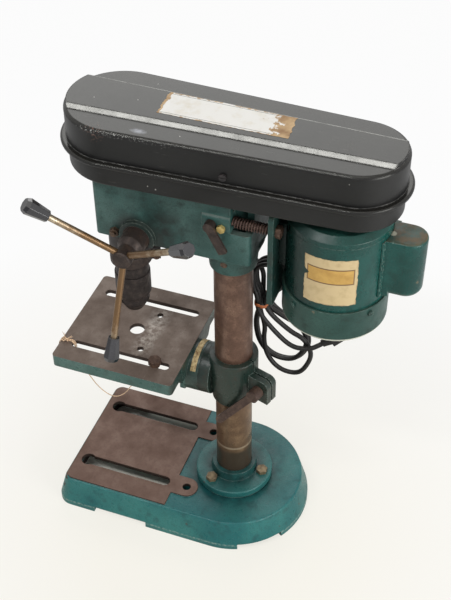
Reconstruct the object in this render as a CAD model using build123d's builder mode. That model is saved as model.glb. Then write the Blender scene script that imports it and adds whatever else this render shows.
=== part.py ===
from build123d import *
import math
import os

# Bench drill press in millimetres. The origin lies on the bench, midway between the two
# bench bolts. +Z is up, the operator stands at -Y and the feed handles are on +X.

os.makedirs("parts", exist_ok=True)

# Clearances
SEAT_GAP = 0.1          # round the screws, rings and pins that are fixed in a hole
RUN_GAP = 0.08          # round shafts that turn or slide in a bore
FACE_GAP = 0.3          # between faces that move past each other

# Main axes
COLUMN_Y = 49
THROAT = 128.5          # column axis to spindle axis
MOTOR_Y = 170
SPINDLE_Y = COLUMN_Y - THROAT

# Base casting and column
BASE_HALF_WIDTH = 100
BASE_FRONT_Y = -172
BASE_CORNER = 20
BASE_LIP = 8
BASE_HEIGHT = 42
BASE_DRAFT = 9.5        # how far the wall leans in between the lip and the top
BASE_WALL = 9
BASE_TOP = 10
PAD_PLATE = 5.5         # thickness under the slots of the pad
BASE_EDGE = 2.5
PAD_HEIGHT = 2
PAD_HALF_WIDTH = 88
PAD_FRONT_Y = -160
PAD_REAR_Y = -16.7
PAD_CORNER = 9
EAR_RADIUS = 15
BENCH_HOLE_SPACING = 102
BENCH_HOLE_RADIUS = 5.5
BENCH_BOSS_RADIUS = 14
BASE_SLOT_X = 51.5
BASE_SLOT_WIDTH = 14.5
BASE_SLOT_FRONT_Y = -143
BASE_SLOT_REAR_Y = -24
KEYHOLE_RADIUS = 9.5
NOTCH_HEIGHT = 9
SIDE_NOTCH = (-116, -41)
REAR_NOTCH = (22, 36)   # start and span in degrees about the column
FLANGE_SEAT_RADIUS = 48.5
FLANGE_SEAT_HEIGHT = 3
FLANGE_RADIUS = 50.5
FLANGE_THICK = 9.5
FLANGE_NECK_RADIUS = 29
FLANGE_NECK_HEIGHT = 12.5
FLANGE_BOLT_CIRCLE = 39
FLANGE_BOLT_RADIUS = 4
FLANGE_BOLT_HEAD = 13
FLANGE_BOLT_LENGTH = 28
COLUMN_RADIUS = 23
COLUMN_WALL = 3.5
COLUMN_TOP_Z = 522

# Table and its bracket
TABLE_SIZE = 158
TABLE_Y = SPINDLE_Y - 1.5
TABLE_TOP_Z = 263
TABLE_DEPTH = 16.6
TABLE_PLATE = 5.5
TABLE_RIM = 7
TABLE_CORNER = 5
TABLE_SLOT_X = 50
TABLE_SLOT_WIDTH = 11
TABLE_SLOT_FRONT_Y = TABLE_Y - 64
TABLE_SLOT_REAR_Y = TABLE_Y + 65
TABLE_HOLE_RADIUS = 9.5
SMALL_HOLE_SPACING = 64
SMALL_HOLE_Y = SPINDLE_Y + 18.1
SMALL_HOLE_RADIUS = 4
TILT_Z = 228
TILT_DISC_RADIUS = 32
TILT_DISC_FRONT_Y = TABLE_Y + 73
TILT_FACE_Y = 12
TILT_BOLT_RADIUS = 5
TILT_BOLT_HEAD = 17
TILT_BOLT_HEAD_HEIGHT = 6
TILT_BOLT_END_Y = 24.5
SCALE_FRONT_Y = 2
SCALE_WIDTH = 7
SCALE_THICK = 0.5
SCALE_START = 28
SCALE_SPAN = 124
STOP_PIN_Z = 186
STOP_PIN_RADIUS = 2.5
STOP_PIN_LENGTH = 17.4
STOP_PIN_END_Y = TILT_DISC_FRONT_Y + 3.4
STOP_LUG_THICK = 6
COLLAR_RADIUS = 30.4
COLLAR_TOE_RADIUS = 27
COLLAR_BOTTOM_Z = 194.5
COLLAR_TOE_HEIGHT = 24
COLLAR_TOP_Z = 265.6
CLAMP_TURN = 17         # degrees that the ears are turned towards +X
CLAMP_Z = 231
CLAMP_REACH = 44        # column axis to clamp screw
EAR_REACH = 57.5
EAR_HEIGHT = 34
EAR_THICK = 8
EAR_CORNER = 9
COLLAR_SPLIT = 2
CLAMP_SCREW_RADIUS = 4
CLAMP_NUT = 13
CLAMP_NUT_HEIGHT = 7
CLAMP_HUB_RADIUS = 8
CLAMP_HUB_LENGTH = 14
CLAMP_ARM_LENGTH = 72
CLAMP_ARM_WIDTH = 10
CLAMP_ARM_THICK = 5
CLAMP_ARM_DROP = 54     # degrees below level
CLAMP_ARM_FLARE = 12    # degrees that the arm bends away from the collar
SLOT_BOLT_Y = TABLE_Y + 46.4
SLOT_BOLT_RADIUS = 3.8
SLOT_BOLT_HEAD = 14
SLOT_BOLT_HEAD_HEIGHT = 8
SLOT_BOLT_LENGTH = 30
TWINE_RADIUS = 0.75

# Head casting
HEAD_HALF_WIDTH = 42
HEAD_FRONT_Y = SPINDLE_Y - 21.5
HEAD_REAR_Y = 83
HEAD_BOTTOM_Z = 444
HEAD_TOP_Z = 528.6
HEAD_WALL = 8
HEAD_CORNER = 6
QUILL_RADIUS = 20
QUILL_HOUSING_RADIUS = QUILL_RADIUS + 4.5
QUILL_HOUSING_BOTTOM_Z = 398
QUILL_TUBE_RADIUS = QUILL_RADIUS + 6
COLUMN_BOSS_RADIUS = 36
COLUMN_BOSS_WAIST = (29, 429)
COLUMN_BOSS_TOE = (27.5, 411)
COLUMN_TUBE_RADIUS = 30
SET_SCREW_Z = 427
SET_SCREW_ANGLE = -2    # degrees from +X about the column
SET_SCREW_RADIUS = 4
GUIDE_SCREW_OFFSET = 3.5   # behind the spindle axis
GUIDE_SCREW_RADIUS = 3
GUIDE_SCREW_Z = 453
GUIDE_NUT = 10
RECESS_HALF_GAP = 26
RECESS_FRONT_Y = 61
RECESS_BOTTOM_Z = 485
LUG_FRONT_Y = 29
LUG_OUTER_X = 45
LUG_SIZE = 22
LUG_CORNER = 5
ROD_X = 34
ROD_Z = 496
ROD_RADIUS = 4
ROD_FRONT_Y = 32
STOP_BOLT_Y = 52
STOP_BOLT_Z = 493
LOCK_Y = 40
LOCK_ARM_LENGTH = 36
LOCK_ARM_DROP = 63
LOCK_ARM_WIDTH = 10.5
PAN_SCREW_RADIUS = 2.5
PAN_SCREW_YS = (SPINDLE_Y - 6.5, 12)

# Quill, spindle and feed
MODULE = 1.5
PINION_TEETH = 18
PRESSURE_ANGLE = 20
BACKLASH = 0.2
PINION_HALF_WIDTH = 13.5
QUILL_BOTTOM_Z = 380
QUILL_TOP_Z = 500
QUILL_BORE_RADIUS = 10
RACK_TIP = QUILL_RADIUS - 1    # spindle axis to the tips of the rack
FEED_Z = 453.5
RACK_BELOW = 2          # tooth gaps below the pinion at rest
RACK_ABOVE = 9
STROKE = 36
KEYWAY_DEPTH_X = QUILL_RADIUS - 5.5
KEYWAY_HALF_WIDTH = 3.4
LOWER_BEARING = (7.5, 17.5, 11)     # bore radius, outer radius, width
UPPER_BEARING = (6, 14, 8)
DRIVE_BEARING = (8.5, QUILL_RADIUS, 12)
STOP_COLLAR_RADIUS = QUILL_RADIUS + 5
STOP_COLLAR_HEIGHT = 16
STOP_COLLAR_ANGLE = 113
STOP_EAR_REACH = STOP_COLLAR_RADIUS + 10
STOP_EAR_WIDTH = 14
STOP_EAR_HEIGHT = 12
STOP_SPLIT = 1.6
STOP_SCREW_RADIUS = 2.5
SPINDLE_TOP_Z = 575
TAPER_RADII = (6.6, 7.2)
TAPER_BOTTOM_Z = 354
SPINDLE_COLLAR_RADIUS = 8.6
CHUCK_TOP_Z = 377
CHUCK_RADIUS = 21.5
CHUCK_BODY_RADIUS = 20
CHUCK_CORE_RADIUS = 17.8
CHUCK_NOSE_RADIUS = 18.6
CHUCK_TIP_RADIUS = 11.5
CHUCK_TIP_Z = 305
SLEEVE_BOTTOM_Z = 327
SLEEVE_TOP_Z = 362
SLEEVE_TEETH = 24
KEY_HOLE_Z = 320
KEY_HOLE_RADIUS = 2.6
DRILL_BORE_RADIUS = 5.5
JAW_ANGLE = 13
JAW_RADIUS = 3
JAW_LENGTH = 27
JAW_TIP_OFFSET = 3.75
JAW_TIP_Z = 302
JAW_TRAVEL = 18
FEED_BOSS_RADIUS = 21
FEED_BOSS_OUTER_X = 47
FEED_JOURNAL_RADIUS = 16
FEED_STUB_RADIUS = 9
HUB_RADIUS = 15
HUB_STEP_X = 72
HUB_HEAD_RADIUS = 11
HUB_END_X = 90
SPOKE_X = 80            # where the spoke axes meet the feed axis
SPOKE_ANGLES = (137.2, 36.4, 267.7)
SPOKE_LEAN = 20.6
SPOKE_RADIUS = 3.8
SPOKE_START = 5.5
SPOKE_END = 109
KNOB_START = 98.6
KNOB_SHOULDER = 123
KNOB_END = 127.4
KNOB_RADII = (6.75, 9.5, 7.6)
KNOB_FACETS = 8
CUP_RADIUS = 27
CUP_DEPTH = 20
CUP_WALL = 2
SPRING_STUB_RADIUS = 8
COIL_INNER_RADIUS = 8.9
COIL_STEP = 3.05
COIL_TURNS = 5
COIL_THICK = 0.8
COIL_WIDTH = 10

# Belt case, belt and pulleys
CASE_FRONT_Y = SPINDLE_Y + 2.2
CASE_FRONT_RADIUS = 61.3
CASE_REAR_Y = 184.9
CASE_REAR_RADIUS = 52.1
PAN_INSET = 1
PAN_TOP_Z = 557.5
SHEET = 1.6
LID_SEAT_Z = 557.8
LID_TOP_Z = 598.4
LID_EDGE = 4
BEAD_BOTTOM_Z = 555.4
BEAD_TOP_Z = 561
BEAD_OUT = 6.6
BEAD_ROUND = 2.2
SKIRT_GAP = 0.5
PANEL_FRONT_HALF = 28.8   # half width of the raised panel, which narrows towards the rear
PANEL_REAR_HALF = 21
PANEL_FLARE = 4.5
PANEL_RISE = 4.4
PANEL_END_INSET = 3
SHAFT_SLOT_RADIUS = 13
SLIDE_IN = 12           # how far the motor can slide towards the column
SLIDE_OUT = 6
CATCH_Y = 58.8
CATCH_Z = 570
CATCH_RADIUS = 4
HINGE_YS = (-20, 110)
HINGE_Z = 552
HINGE_OUT = 11.2
KNUCKLE_RADIUS = 4
HINGE_PIN_RADIUS = 1.6
PAN_KNUCKLE = 12
LID_KNUCKLE = 8
STEP_HEIGHT = 13
PULLEY_BOTTOM_Z = 536
SPINDLE_STEPS = (50, 43, 36, 29)
MOTOR_STEPS = (25, 32, 39, 46)
BELT_STEP = 1
GROOVE_DEPTH = 6.5
GROOVE_HALF_MOUTH = 5
GROOVE_HALF_ROOT = 2.3
BELT_HALF_TOP = 4.6
BELT_HALF_ROOT = 2.2
BELT_HALF_DEPTH = 2.8
BELT_SINK = 3           # pulley rim to the middle of the belt
SLEEVE_RADIUS = 8.5
SLEEVE_BORE = 6.4
DRIVE_SLEEVE_BOTTOM_Z = 502.5

# Motor
MOTOR_RADIUS = 57
MOTOR_SHELL = 2.5
MOTOR_BOTTOM_Z = 420
MOTOR_TOP_Z = 507
BELL_RADIUS = 59.3
BELL_BOTTOM_Z = 377
BELL_WALL = 4
BELL_ROUND = 7
TOP_BELL_HEIGHT = 13
BELL_SCREW_Z = 412
BELL_SCREW_ANGLE = -35
BELL_SCREW_RADIUS = 3.5
STATOR_BORE = 30.5
CORE_BOTTOM_Z = 432
CORE_TOP_Z = 494
ROTOR_RADIUS = 30
SHAFT_RADIUS = 7
MOTOR_BEARING = (SHAFT_RADIUS, 16, 10)
PLATE_FRONT_Y = 104
PLATE_THICK = 6
PLATE_HALF_WIDTH = 45
PLATE_BOTTOM_Z = 396
PLATE_TOP_Z = 520
FOOT_HALF_WIDTH = 24
FOOT_BOTTOM_Z = 444
FOOT_TOP_Z = 500
FOOT_BOLT_X = 15
FOOT_BOLT_ZS = (456, 488)
FOOT_BOLT_RADIUS = 3
COVER_HALF_WIDTH = 19.5
COVER_END_Y = 265.5
COVER_BOTTOM_Z = 428
COVER_TOP_Z = 502.5
COVER_CORNER = 10
COVER_FLANGE = 5
SPRING_RADIUS = 5.6
SPRING_WIRE = 1.8
SPRING_TURNS = 13
SPRING_LEAD = 2.2       # rise of the wire between its straight end and the coil

# Switch and mains lead
SWITCH_DEPTH = 28
SWITCH_Y = 5
SWITCH_WIDTH = 46
SWITCH_BOTTOM_Z = 464
SWITCH_HEIGHT = 52
ROCKER_RADIUS = 10
ROCKER_WIDTH = 12
ROCKER_PIVOT = 3        # pivot behind the face of the box
ROCKER_PROUD = 4
GLAND_Y = 16
GLAND_LENGTH = 22
GLAND_RADII = (6, 4.2)
CORD_RADIUS = 3
HANK_LAYERS = (-41, -34, -27)
HANK_TAIL_X = -20
HANK_WAIST_Y = 76
HANK_WAIST_Z = 334
HANK_WAIST_STEP = 3.7
HANK_LEFT_YS = (66, 67, 80)
HANK_BOTTOMS = (238, 243, 229)
HANK_RIGHT_YS = (131, 130, 138)
HANK_TOP_Y = 81
HANK_TOP_Z = 391
HANK_TOP_HALF = 17
TIE_HEIGHT = 6
TIE_THICK = 1.4
TIE_GAP = 0.6
PLUG_LENGTH = 34
PLUG_SIZE = (24, 14)

# Headings
UP = Vector(0, 0, 1)
DOWN = Vector(0, 0, -1)
REARWARD = Vector(0, 1, 0)
FORWARD = Vector(0, -1, 0)


def keep(piece, name):
    """Label a finished piece and write it to its own file."""
    piece.part.label = name
    export_step(piece.part, f"parts/{name}.step")


def upright(y):
    """Vertical plane through an upright axis: across is X, along is Z."""
    return Plane(origin=(0, y, 0), x_dir=(1, 0, 0), z_dir=(0, -1, 0))


def upright_axis(y):
    return Axis((0, y, 0), (0, 0, 1))


def turned(profile, plane, axis, mode=Mode.ADD):
    """Solid of revolution of a profile of corner points."""
    with BuildSketch(plane) as outline:
        Polygon(*profile, align=None)
    revolve(outline.sketch, axis=axis, mode=mode)


def bar(plane, radius, length, mode=Mode.ADD):
    """Round bar that stands on a plane."""
    with BuildSketch(plane) as outline:
        Circle(radius)
    extrude(outline.sketch, amount=length, mode=mode)


def drill(plane, radius, depth):
    """Round hole that starts on a plane."""
    bar(plane, radius, depth, mode=Mode.SUBTRACT)


def ring(plane, bore_radius, outer_radius, length):
    """Plain ring that stands on a plane."""
    with BuildSketch(plane) as outline:
        Circle(outer_radius)
        Circle(bore_radius, mode=Mode.SUBTRACT)
    extrude(outline.sketch, amount=length)


def hex_bolt(plane, across_flats, head_height, shank_radius, shank_length):
    """Hexagon head on the plane, with the shank behind it."""
    with BuildSketch(plane) as head:
        RegularPolygon(across_flats / 2, 6, major_radius=False)
    extrude(head.sketch, amount=head_height)
    bar(plane, shank_radius, -shank_length)


def slotted_screw(plane, head_radius, head_height, shank_radius, shank_length):
    """Round slotted head on the plane, with the shank behind it."""
    bar(plane, head_radius, head_height)
    with BuildSketch(plane.offset(head_height * 0.5)) as slot:
        Rectangle(head_radius * 2.2, head_radius * 0.25)
    extrude(slot.sketch, amount=head_height, mode=Mode.SUBTRACT)
    bar(plane, shank_radius, -shank_length)


def case_outline(height, grow):
    """Plan of the belt case, two circles and their common tangents, grown all round."""
    with BuildSketch(Plane.XY.offset(height)) as outline:
        with Locations((0, CASE_FRONT_Y)):
            Circle(CASE_FRONT_RADIUS + grow)
        with Locations((0, CASE_REAR_Y)):
            Circle(CASE_REAR_RADIUS + grow)
        make_hull()
    return outline.sketch


def base_outline(height, inset):
    """Plan of the base: a straight front with round corners and a half circle about the column."""
    half = BASE_HALF_WIDTH - inset
    front = BASE_FRONT_Y + inset
    with BuildSketch(Plane.XY.offset(height)) as outline:
        with Locations((0, (front + COLUMN_Y) / 2)):
            Rectangle(2 * half, COLUMN_Y - front)
        fillet(vertices().group_by(Axis.Y)[0], BASE_CORNER - inset)
        with Locations((0, COLUMN_Y)):
            Circle(half)
    return outline.sketch


def biarcs(stations):
    """Join stations, each a point and a direction, by pairs of tangent arcs."""
    for (start, leave), (end, arrive) in zip(stations, stations[1:]):
        chord = end - start
        if chord.cross(leave).length < 1e-6 and chord.cross(arrive).length < 1e-6:
            Line(start, end)
            continue
        reach = chord.dot(leave + arrive)
        spread = 2 * (1 - leave.dot(arrive))
        if spread < 1e-9:
            size = chord.dot(chord) / (2 * reach)
        else:
            size = (math.sqrt(reach**2 + spread * chord.dot(chord)) - reach) / spread
        middle = (start + end + (leave - arrive) * size) * 0.5
        heading = (end - arrive * size - start - leave * size).normalized()
        TangentArc(start, middle, tangent=leave)
        TangentArc(middle, end, tangent=heading)


def least_gap(line, thickness, spacing, apart):
    """Least gap of a wound tube to itself, measured on points spaced along its line."""
    count = int(line.length / spacing)
    points = [line @ (number / count) for number in range(count + 1)]
    skip = int(apart / spacing)
    pairs = (
        (points[later] - points[early]).length
        for early in range(count + 1)
        for later in range(early + skip, count + 1)
    )
    return min(pairs) - thickness


def bend_radii(points):
    """Largest bend that the two runs at each inner point of a cord leave room for."""
    radii = []
    for before, here, after in zip(points, points[1:], points[2:]):
        run_in = Vector(here) - Vector(before)
        run_out = Vector(after) - Vector(here)
        half_turn = math.radians(run_in.get_angle(run_out)) / 2
        radii.append(0.45 * min(run_in.length, run_out.length) / math.tan(half_turn))
    return radii


# Base casting: a hollow shell with bosses, a machined pad and notches in its rim
base_top = BASE_HEIGHT
flange_bottom = BASE_HEIGHT + FLANGE_SEAT_HEIGHT
base_slope = math.degrees(math.atan2(BASE_DRAFT, BASE_HEIGHT - BASE_LIP))
with BuildPart() as base_casting:
    extrude(base_outline(0, 0), amount=BASE_LIP)
    extrude(base_outline(BASE_LIP, 0), amount=BASE_HEIGHT - BASE_LIP, taper=base_slope)
    fillet(faces().sort_by(Axis.Z)[-1].edges(), BASE_EDGE)
    extrude(base_outline(0, BASE_WALL), amount=BASE_LIP, mode=Mode.SUBTRACT)
    extrude(
        base_outline(BASE_LIP, BASE_WALL),
        amount=BASE_HEIGHT - BASE_TOP - BASE_LIP,
        taper=base_slope,
        mode=Mode.SUBTRACT,
    )
    with BuildSketch(Plane.XY):
        with GridLocations(BENCH_HOLE_SPACING, 0, 2, 1):
            Circle(BENCH_BOSS_RADIUS)
    extrude(amount=BASE_HEIGHT)
    with BuildSketch(Plane.XY.offset(base_top - 2 * BASE_TOP)):
        with Locations((0, COLUMN_Y)):
            Circle(FLANGE_SEAT_RADIUS)
    extrude(amount=2 * BASE_TOP + FLANGE_SEAT_HEIGHT)
    with BuildSketch(Plane.XY.offset(base_top)):
        with Locations((0, (PAD_FRONT_Y + PAD_REAR_Y) / 2)):
            Rectangle(2 * PAD_HALF_WIDTH, PAD_REAR_Y - PAD_FRONT_Y)
        fillet(vertices().group_by(Axis.Y)[0], PAD_CORNER)
        with GridLocations(BENCH_HOLE_SPACING, 0, 2, 1):
            Circle(EAR_RADIUS)
            with Locations((0, PAD_REAR_Y / 2)):
                Rectangle(2 * EAR_RADIUS, -PAD_REAR_Y)
    extrude(amount=PAD_HEIGHT)
    pocket_front = BASE_SLOT_FRONT_Y - KEYHOLE_RADIUS - 2
    pocket_length = PAD_REAR_Y - 2 - pocket_front
    with BuildSketch(Plane.XY.offset(base_top - BASE_TOP - 1)):
        with Locations((0, pocket_front + pocket_length / 2)):
            RectangleRounded(1.75 * PAD_HALF_WIDTH, pocket_length, PAD_CORNER)
    extrude(amount=PAD_HEIGHT + BASE_TOP + 1 - PAD_PLATE, mode=Mode.SUBTRACT)
    slot_length = BASE_SLOT_REAR_Y - BASE_SLOT_WIDTH / 2 - BASE_SLOT_FRONT_Y
    with BuildSketch(Plane.XY.offset(base_top - 2 * BASE_TOP)):
        with Locations((-BASE_SLOT_X, BASE_SLOT_FRONT_Y), (BASE_SLOT_X, BASE_SLOT_FRONT_Y)):
            Circle(KEYHOLE_RADIUS)
            with Locations((0, slot_length / 2)):
                SlotCenterToCenter(slot_length, BASE_SLOT_WIDTH, rotation=90)
    extrude(amount=3 * BASE_TOP, mode=Mode.SUBTRACT)
    with BuildSketch(Plane.XY):
        with GridLocations(BENCH_HOLE_SPACING, 0, 2, 1):
            Circle(BENCH_HOLE_RADIUS)
    extrude(amount=2 * BASE_HEIGHT, mode=Mode.SUBTRACT)
    with BuildSketch(Plane.XY.offset(flange_bottom)):
        with Locations((0, COLUMN_Y)):
            with PolarLocations(FLANGE_BOLT_CIRCLE, 3, start_angle=-30):
                Circle(FLANGE_BOLT_RADIUS + SEAT_GAP)
    extrude(amount=-3 * BASE_TOP, mode=Mode.SUBTRACT)
    with BuildSketch(Plane.XY):
        with Locations((0, sum(SIDE_NOTCH) / 2)):
            Rectangle(2.2 * BASE_HALF_WIDTH, SIDE_NOTCH[1] - SIDE_NOTCH[0])
            Rectangle(1.6 * BASE_HALF_WIDTH, SIDE_NOTCH[1] - SIDE_NOTCH[0], mode=Mode.SUBTRACT)
        for start in (REAR_NOTCH[0], 180 - REAR_NOTCH[0] - REAR_NOTCH[1]):
            with BuildLine():
                outer = CenterArc((0, COLUMN_Y), 1.1 * BASE_HALF_WIDTH, start, REAR_NOTCH[1])
                inner = CenterArc((0, COLUMN_Y), 0.8 * BASE_HALF_WIDTH, start, REAR_NOTCH[1])
                Line(inner @ 0, outer @ 0)
                Line(inner @ 1, outer @ 1)
            make_face()
    extrude(amount=NOTCH_HEIGHT, mode=Mode.SUBTRACT)
keep(base_casting, "base_casting")

# Column flange, its bolts and the column tube
column_section = upright(COLUMN_Y)
column_axis = upright_axis(COLUMN_Y)
flange_top = flange_bottom + FLANGE_THICK
with BuildPart() as column_flange:
    bore = COLUMN_RADIUS + SEAT_GAP
    turned(
        [
            (bore, flange_bottom),
            (FLANGE_RADIUS, flange_bottom),
            (FLANGE_RADIUS, flange_top),
            (FLANGE_NECK_RADIUS + 1.5, flange_top),
            (FLANGE_NECK_RADIUS, flange_top + FLANGE_NECK_HEIGHT),
            (bore, flange_top + FLANGE_NECK_HEIGHT),
        ],
        column_section,
        column_axis,
    )
    fillet(edges().filter_by(GeomType.CIRCLE).group_by(SortBy.RADIUS)[-1].sort_by(Axis.Z)[-1], 2)
    with BuildSketch(Plane.XY.offset(flange_bottom)):
        with Locations((0, COLUMN_Y)):
            with PolarLocations(FLANGE_BOLT_CIRCLE, 3, start_angle=-30):
                Circle(FLANGE_BOLT_RADIUS + SEAT_GAP)
    extrude(amount=FLANGE_THICK, mode=Mode.SUBTRACT)
keep(column_flange, "column_flange")

with BuildPart() as flange_bolts:
    for number in range(3):
        turn = math.radians(-30 + 120 * number)
        spot = (
            FLANGE_BOLT_CIRCLE * math.cos(turn),
            COLUMN_Y + FLANGE_BOLT_CIRCLE * math.sin(turn),
            flange_top,
        )
        hex_bolt(Plane(origin=spot), FLANGE_BOLT_HEAD, 5.5, FLANGE_BOLT_RADIUS, FLANGE_BOLT_LENGTH)
keep(flange_bolts, "flange_bolts")

with BuildPart() as column:
    ring(
        Plane(origin=(0, COLUMN_Y, flange_bottom)),
        COLUMN_RADIUS - COLUMN_WALL,
        COLUMN_RADIUS,
        COLUMN_TOP_Z - flange_bottom,
    )
keep(column, "column")

# Table bracket: split collar, clamp ears and the disc that the table tilts on
clamp_turn = math.radians(CLAMP_TURN)
ear_way = Vector(math.sin(clamp_turn), math.cos(clamp_turn), 0)
clamp_way = Vector(math.cos(clamp_turn), -math.sin(clamp_turn), 0)
ear_plane = Plane(origin=(0, COLUMN_Y, 0), x_dir=ear_way, z_dir=clamp_way)
ear_half = EAR_THICK + COLLAR_SPLIT / 2
tilt_plane = Plane(origin=(0, TILT_FACE_Y, TILT_Z), x_dir=(1, 0, 0), z_dir=(0, 1, 0))
bracket_bore = COLUMN_RADIUS + RUN_GAP
clamp_plane = Plane(
    origin=ear_plane.from_local_coords(Vector(CLAMP_REACH, CLAMP_Z, 0)), x_dir=ear_way, z_dir=clamp_way
)
with BuildPart() as table_bracket:
    turned(
        [
            (0, COLLAR_BOTTOM_Z),
            (COLLAR_TOE_RADIUS, COLLAR_BOTTOM_Z),
            (COLLAR_RADIUS, COLLAR_BOTTOM_Z + COLLAR_TOE_HEIGHT),
            (COLLAR_RADIUS, COLLAR_TOP_Z),
            (0, COLLAR_TOP_Z),
        ],
        column_section,
        column_axis,
    )
    fillet(edges().filter_by(GeomType.CIRCLE).group_by(Axis.Z)[-1], 1.5)
    bar(tilt_plane.offset(FACE_GAP), TILT_DISC_RADIUS, COLUMN_Y - COLUMN_RADIUS - TILT_FACE_Y)
    with BuildSketch(ear_plane):
        with Locations((EAR_REACH / 2, CLAMP_Z)):
            Rectangle(EAR_REACH, EAR_HEIGHT)
        fillet(vertices().group_by(Axis.Y)[-1], EAR_CORNER)
    extrude(amount=ear_half, both=True)
    with BuildSketch(ear_plane):
        with Locations((EAR_REACH, (COLLAR_BOTTOM_Z + COLLAR_TOP_Z) / 2)):
            Rectangle(2 * EAR_REACH, 2 * (COLLAR_TOP_Z - COLLAR_BOTTOM_Z))
    extrude(amount=COLLAR_SPLIT / 2, both=True, mode=Mode.SUBTRACT)
    drill(Plane(origin=(0, COLUMN_Y, COLLAR_BOTTOM_Z - 1)), bracket_bore, 100)
    drill(clamp_plane.offset(-2 * ear_half), CLAMP_SCREW_RADIUS + RUN_GAP, 4 * ear_half)
    drill(tilt_plane, TILT_BOLT_RADIUS + SEAT_GAP, COLUMN_Y - TILT_FACE_Y)
keep(table_bracket, "table_bracket")

with BuildPart() as bracket_fasteners:
    head_plane = Plane(
        origin=(0, TILT_DISC_FRONT_Y - FACE_GAP, TILT_Z), x_dir=(1, 0, 0), z_dir=(0, -1, 0)
    )
    hex_bolt(
        head_plane,
        TILT_BOLT_HEAD,
        TILT_BOLT_HEAD_HEIGHT,
        TILT_BOLT_RADIUS,
        TILT_BOLT_END_Y - TILT_DISC_FRONT_Y + FACE_GAP,
    )
    with BuildSketch(clamp_plane.offset(-ear_half - CLAMP_NUT_HEIGHT)):
        RegularPolygon(CLAMP_NUT / 2, 6, major_radius=False)
        Circle(CLAMP_SCREW_RADIUS + RUN_GAP, mode=Mode.SUBTRACT)
    extrude(amount=CLAMP_NUT_HEIGHT)
keep(bracket_fasteners, "bracket_fasteners")

drop = math.radians(CLAMP_ARM_DROP)
flare = math.radians(CLAMP_ARM_FLARE)
arm_level = ear_way * -math.cos(drop) + Vector(0, 0, -math.sin(drop))
arm_way = arm_level * math.cos(flare) + clamp_way * math.sin(flare)
arm_face = clamp_way * math.cos(flare) - arm_level * math.sin(flare)
clamp_seat = ear_half + FACE_GAP
arm_plane = Plane(
    origin=clamp_plane.from_local_coords(Vector(0, 0, clamp_seat + CLAMP_HUB_LENGTH * 0.6)),
    x_dir=arm_way,
    z_dir=arm_face,
)
with BuildPart() as table_clamp_lever:
    bar(clamp_plane.offset(clamp_seat), CLAMP_HUB_RADIUS, CLAMP_HUB_LENGTH)
    bar(
        clamp_plane.offset(clamp_seat),
        CLAMP_SCREW_RADIUS,
        -clamp_seat - ear_half - CLAMP_NUT_HEIGHT - 2,
    )
    with BuildSketch(arm_plane):
        with Locations((CLAMP_ARM_LENGTH / 2, 0)):
            SlotCenterToCenter(CLAMP_ARM_LENGTH, CLAMP_ARM_WIDTH)
    extrude(amount=CLAMP_ARM_THICK / 2, both=True)
keep(table_clamp_lever, "table_clamp_lever")

# Table: slotted plate with a rim, and the tilt boss behind it
table_bottom = TABLE_TOP_Z - TABLE_DEPTH
table_rear = TABLE_Y + TABLE_SIZE / 2
disc_length = TILT_FACE_Y - TILT_DISC_FRONT_Y
disc_plane = tilt_plane.offset(-disc_length)
with BuildPart() as table:
    with BuildSketch(Plane.XY.offset(table_bottom)):
        with Locations((0, TABLE_Y)):
            RectangleRounded(TABLE_SIZE, TABLE_SIZE, TABLE_CORNER)
    extrude(amount=TABLE_DEPTH)
    with BuildSketch(Plane.XY.offset(table_bottom)):
        with Locations((0, TABLE_Y)):
            Rectangle(TABLE_SIZE - 2 * TABLE_RIM, TABLE_SIZE - 2 * TABLE_RIM)
    extrude(amount=TABLE_DEPTH - TABLE_PLATE, mode=Mode.SUBTRACT)
    bar(disc_plane, TILT_DISC_RADIUS, disc_length)
    with BuildSketch(disc_plane):
        with Locations((0, TILT_Z - TABLE_TOP_Z + TABLE_PLATE)):
            Trapezoid(1.5 * TABLE_SIZE / 2, 22, 58, align=(Align.CENTER, Align.MIN))
    extrude(amount=table_rear - TILT_DISC_FRONT_Y)
    lug_front = STOP_PIN_END_Y - STOP_PIN_LENGTH
    with BuildSketch(Plane(origin=(0, lug_front, STOP_PIN_Z), x_dir=(1, 0, 0), z_dir=(0, 1, 0))):
        Circle(STOP_PIN_RADIUS + 4)
        with Locations((0, STOP_PIN_Z - TABLE_TOP_Z + TABLE_PLATE)):
            Rectangle(
                2 * STOP_PIN_RADIUS + 8,
                TABLE_TOP_Z - TABLE_PLATE - STOP_PIN_Z,
                align=(Align.CENTER, Align.MIN),
            )
    extrude(amount=STOP_LUG_THICK)
    table_slot = TABLE_SLOT_REAR_Y - TABLE_SLOT_FRONT_Y
    with BuildSketch(Plane.XY.offset(table_bottom)):
        with Locations((0, TABLE_SLOT_FRONT_Y + table_slot / 2)):
            with GridLocations(2 * TABLE_SLOT_X, 0, 2, 1):
                SlotOverall(table_slot, TABLE_SLOT_WIDTH, rotation=90)
        with Locations((0, SPINDLE_Y)):
            Circle(TABLE_HOLE_RADIUS)
        with Locations((0, SMALL_HOLE_Y)):
            with GridLocations(SMALL_HOLE_SPACING, 0, 2, 1):
                Circle(SMALL_HOLE_RADIUS)
    extrude(amount=TABLE_DEPTH, mode=Mode.SUBTRACT)
    drill(disc_plane, TILT_BOLT_RADIUS + RUN_GAP, disc_length)
    stop_plane = Plane(origin=(0, lug_front, STOP_PIN_Z), z_dir=(0, 1, 0))
    drill(stop_plane, STOP_PIN_RADIUS + SEAT_GAP, STOP_LUG_THICK)
keep(table, "table")

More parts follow.
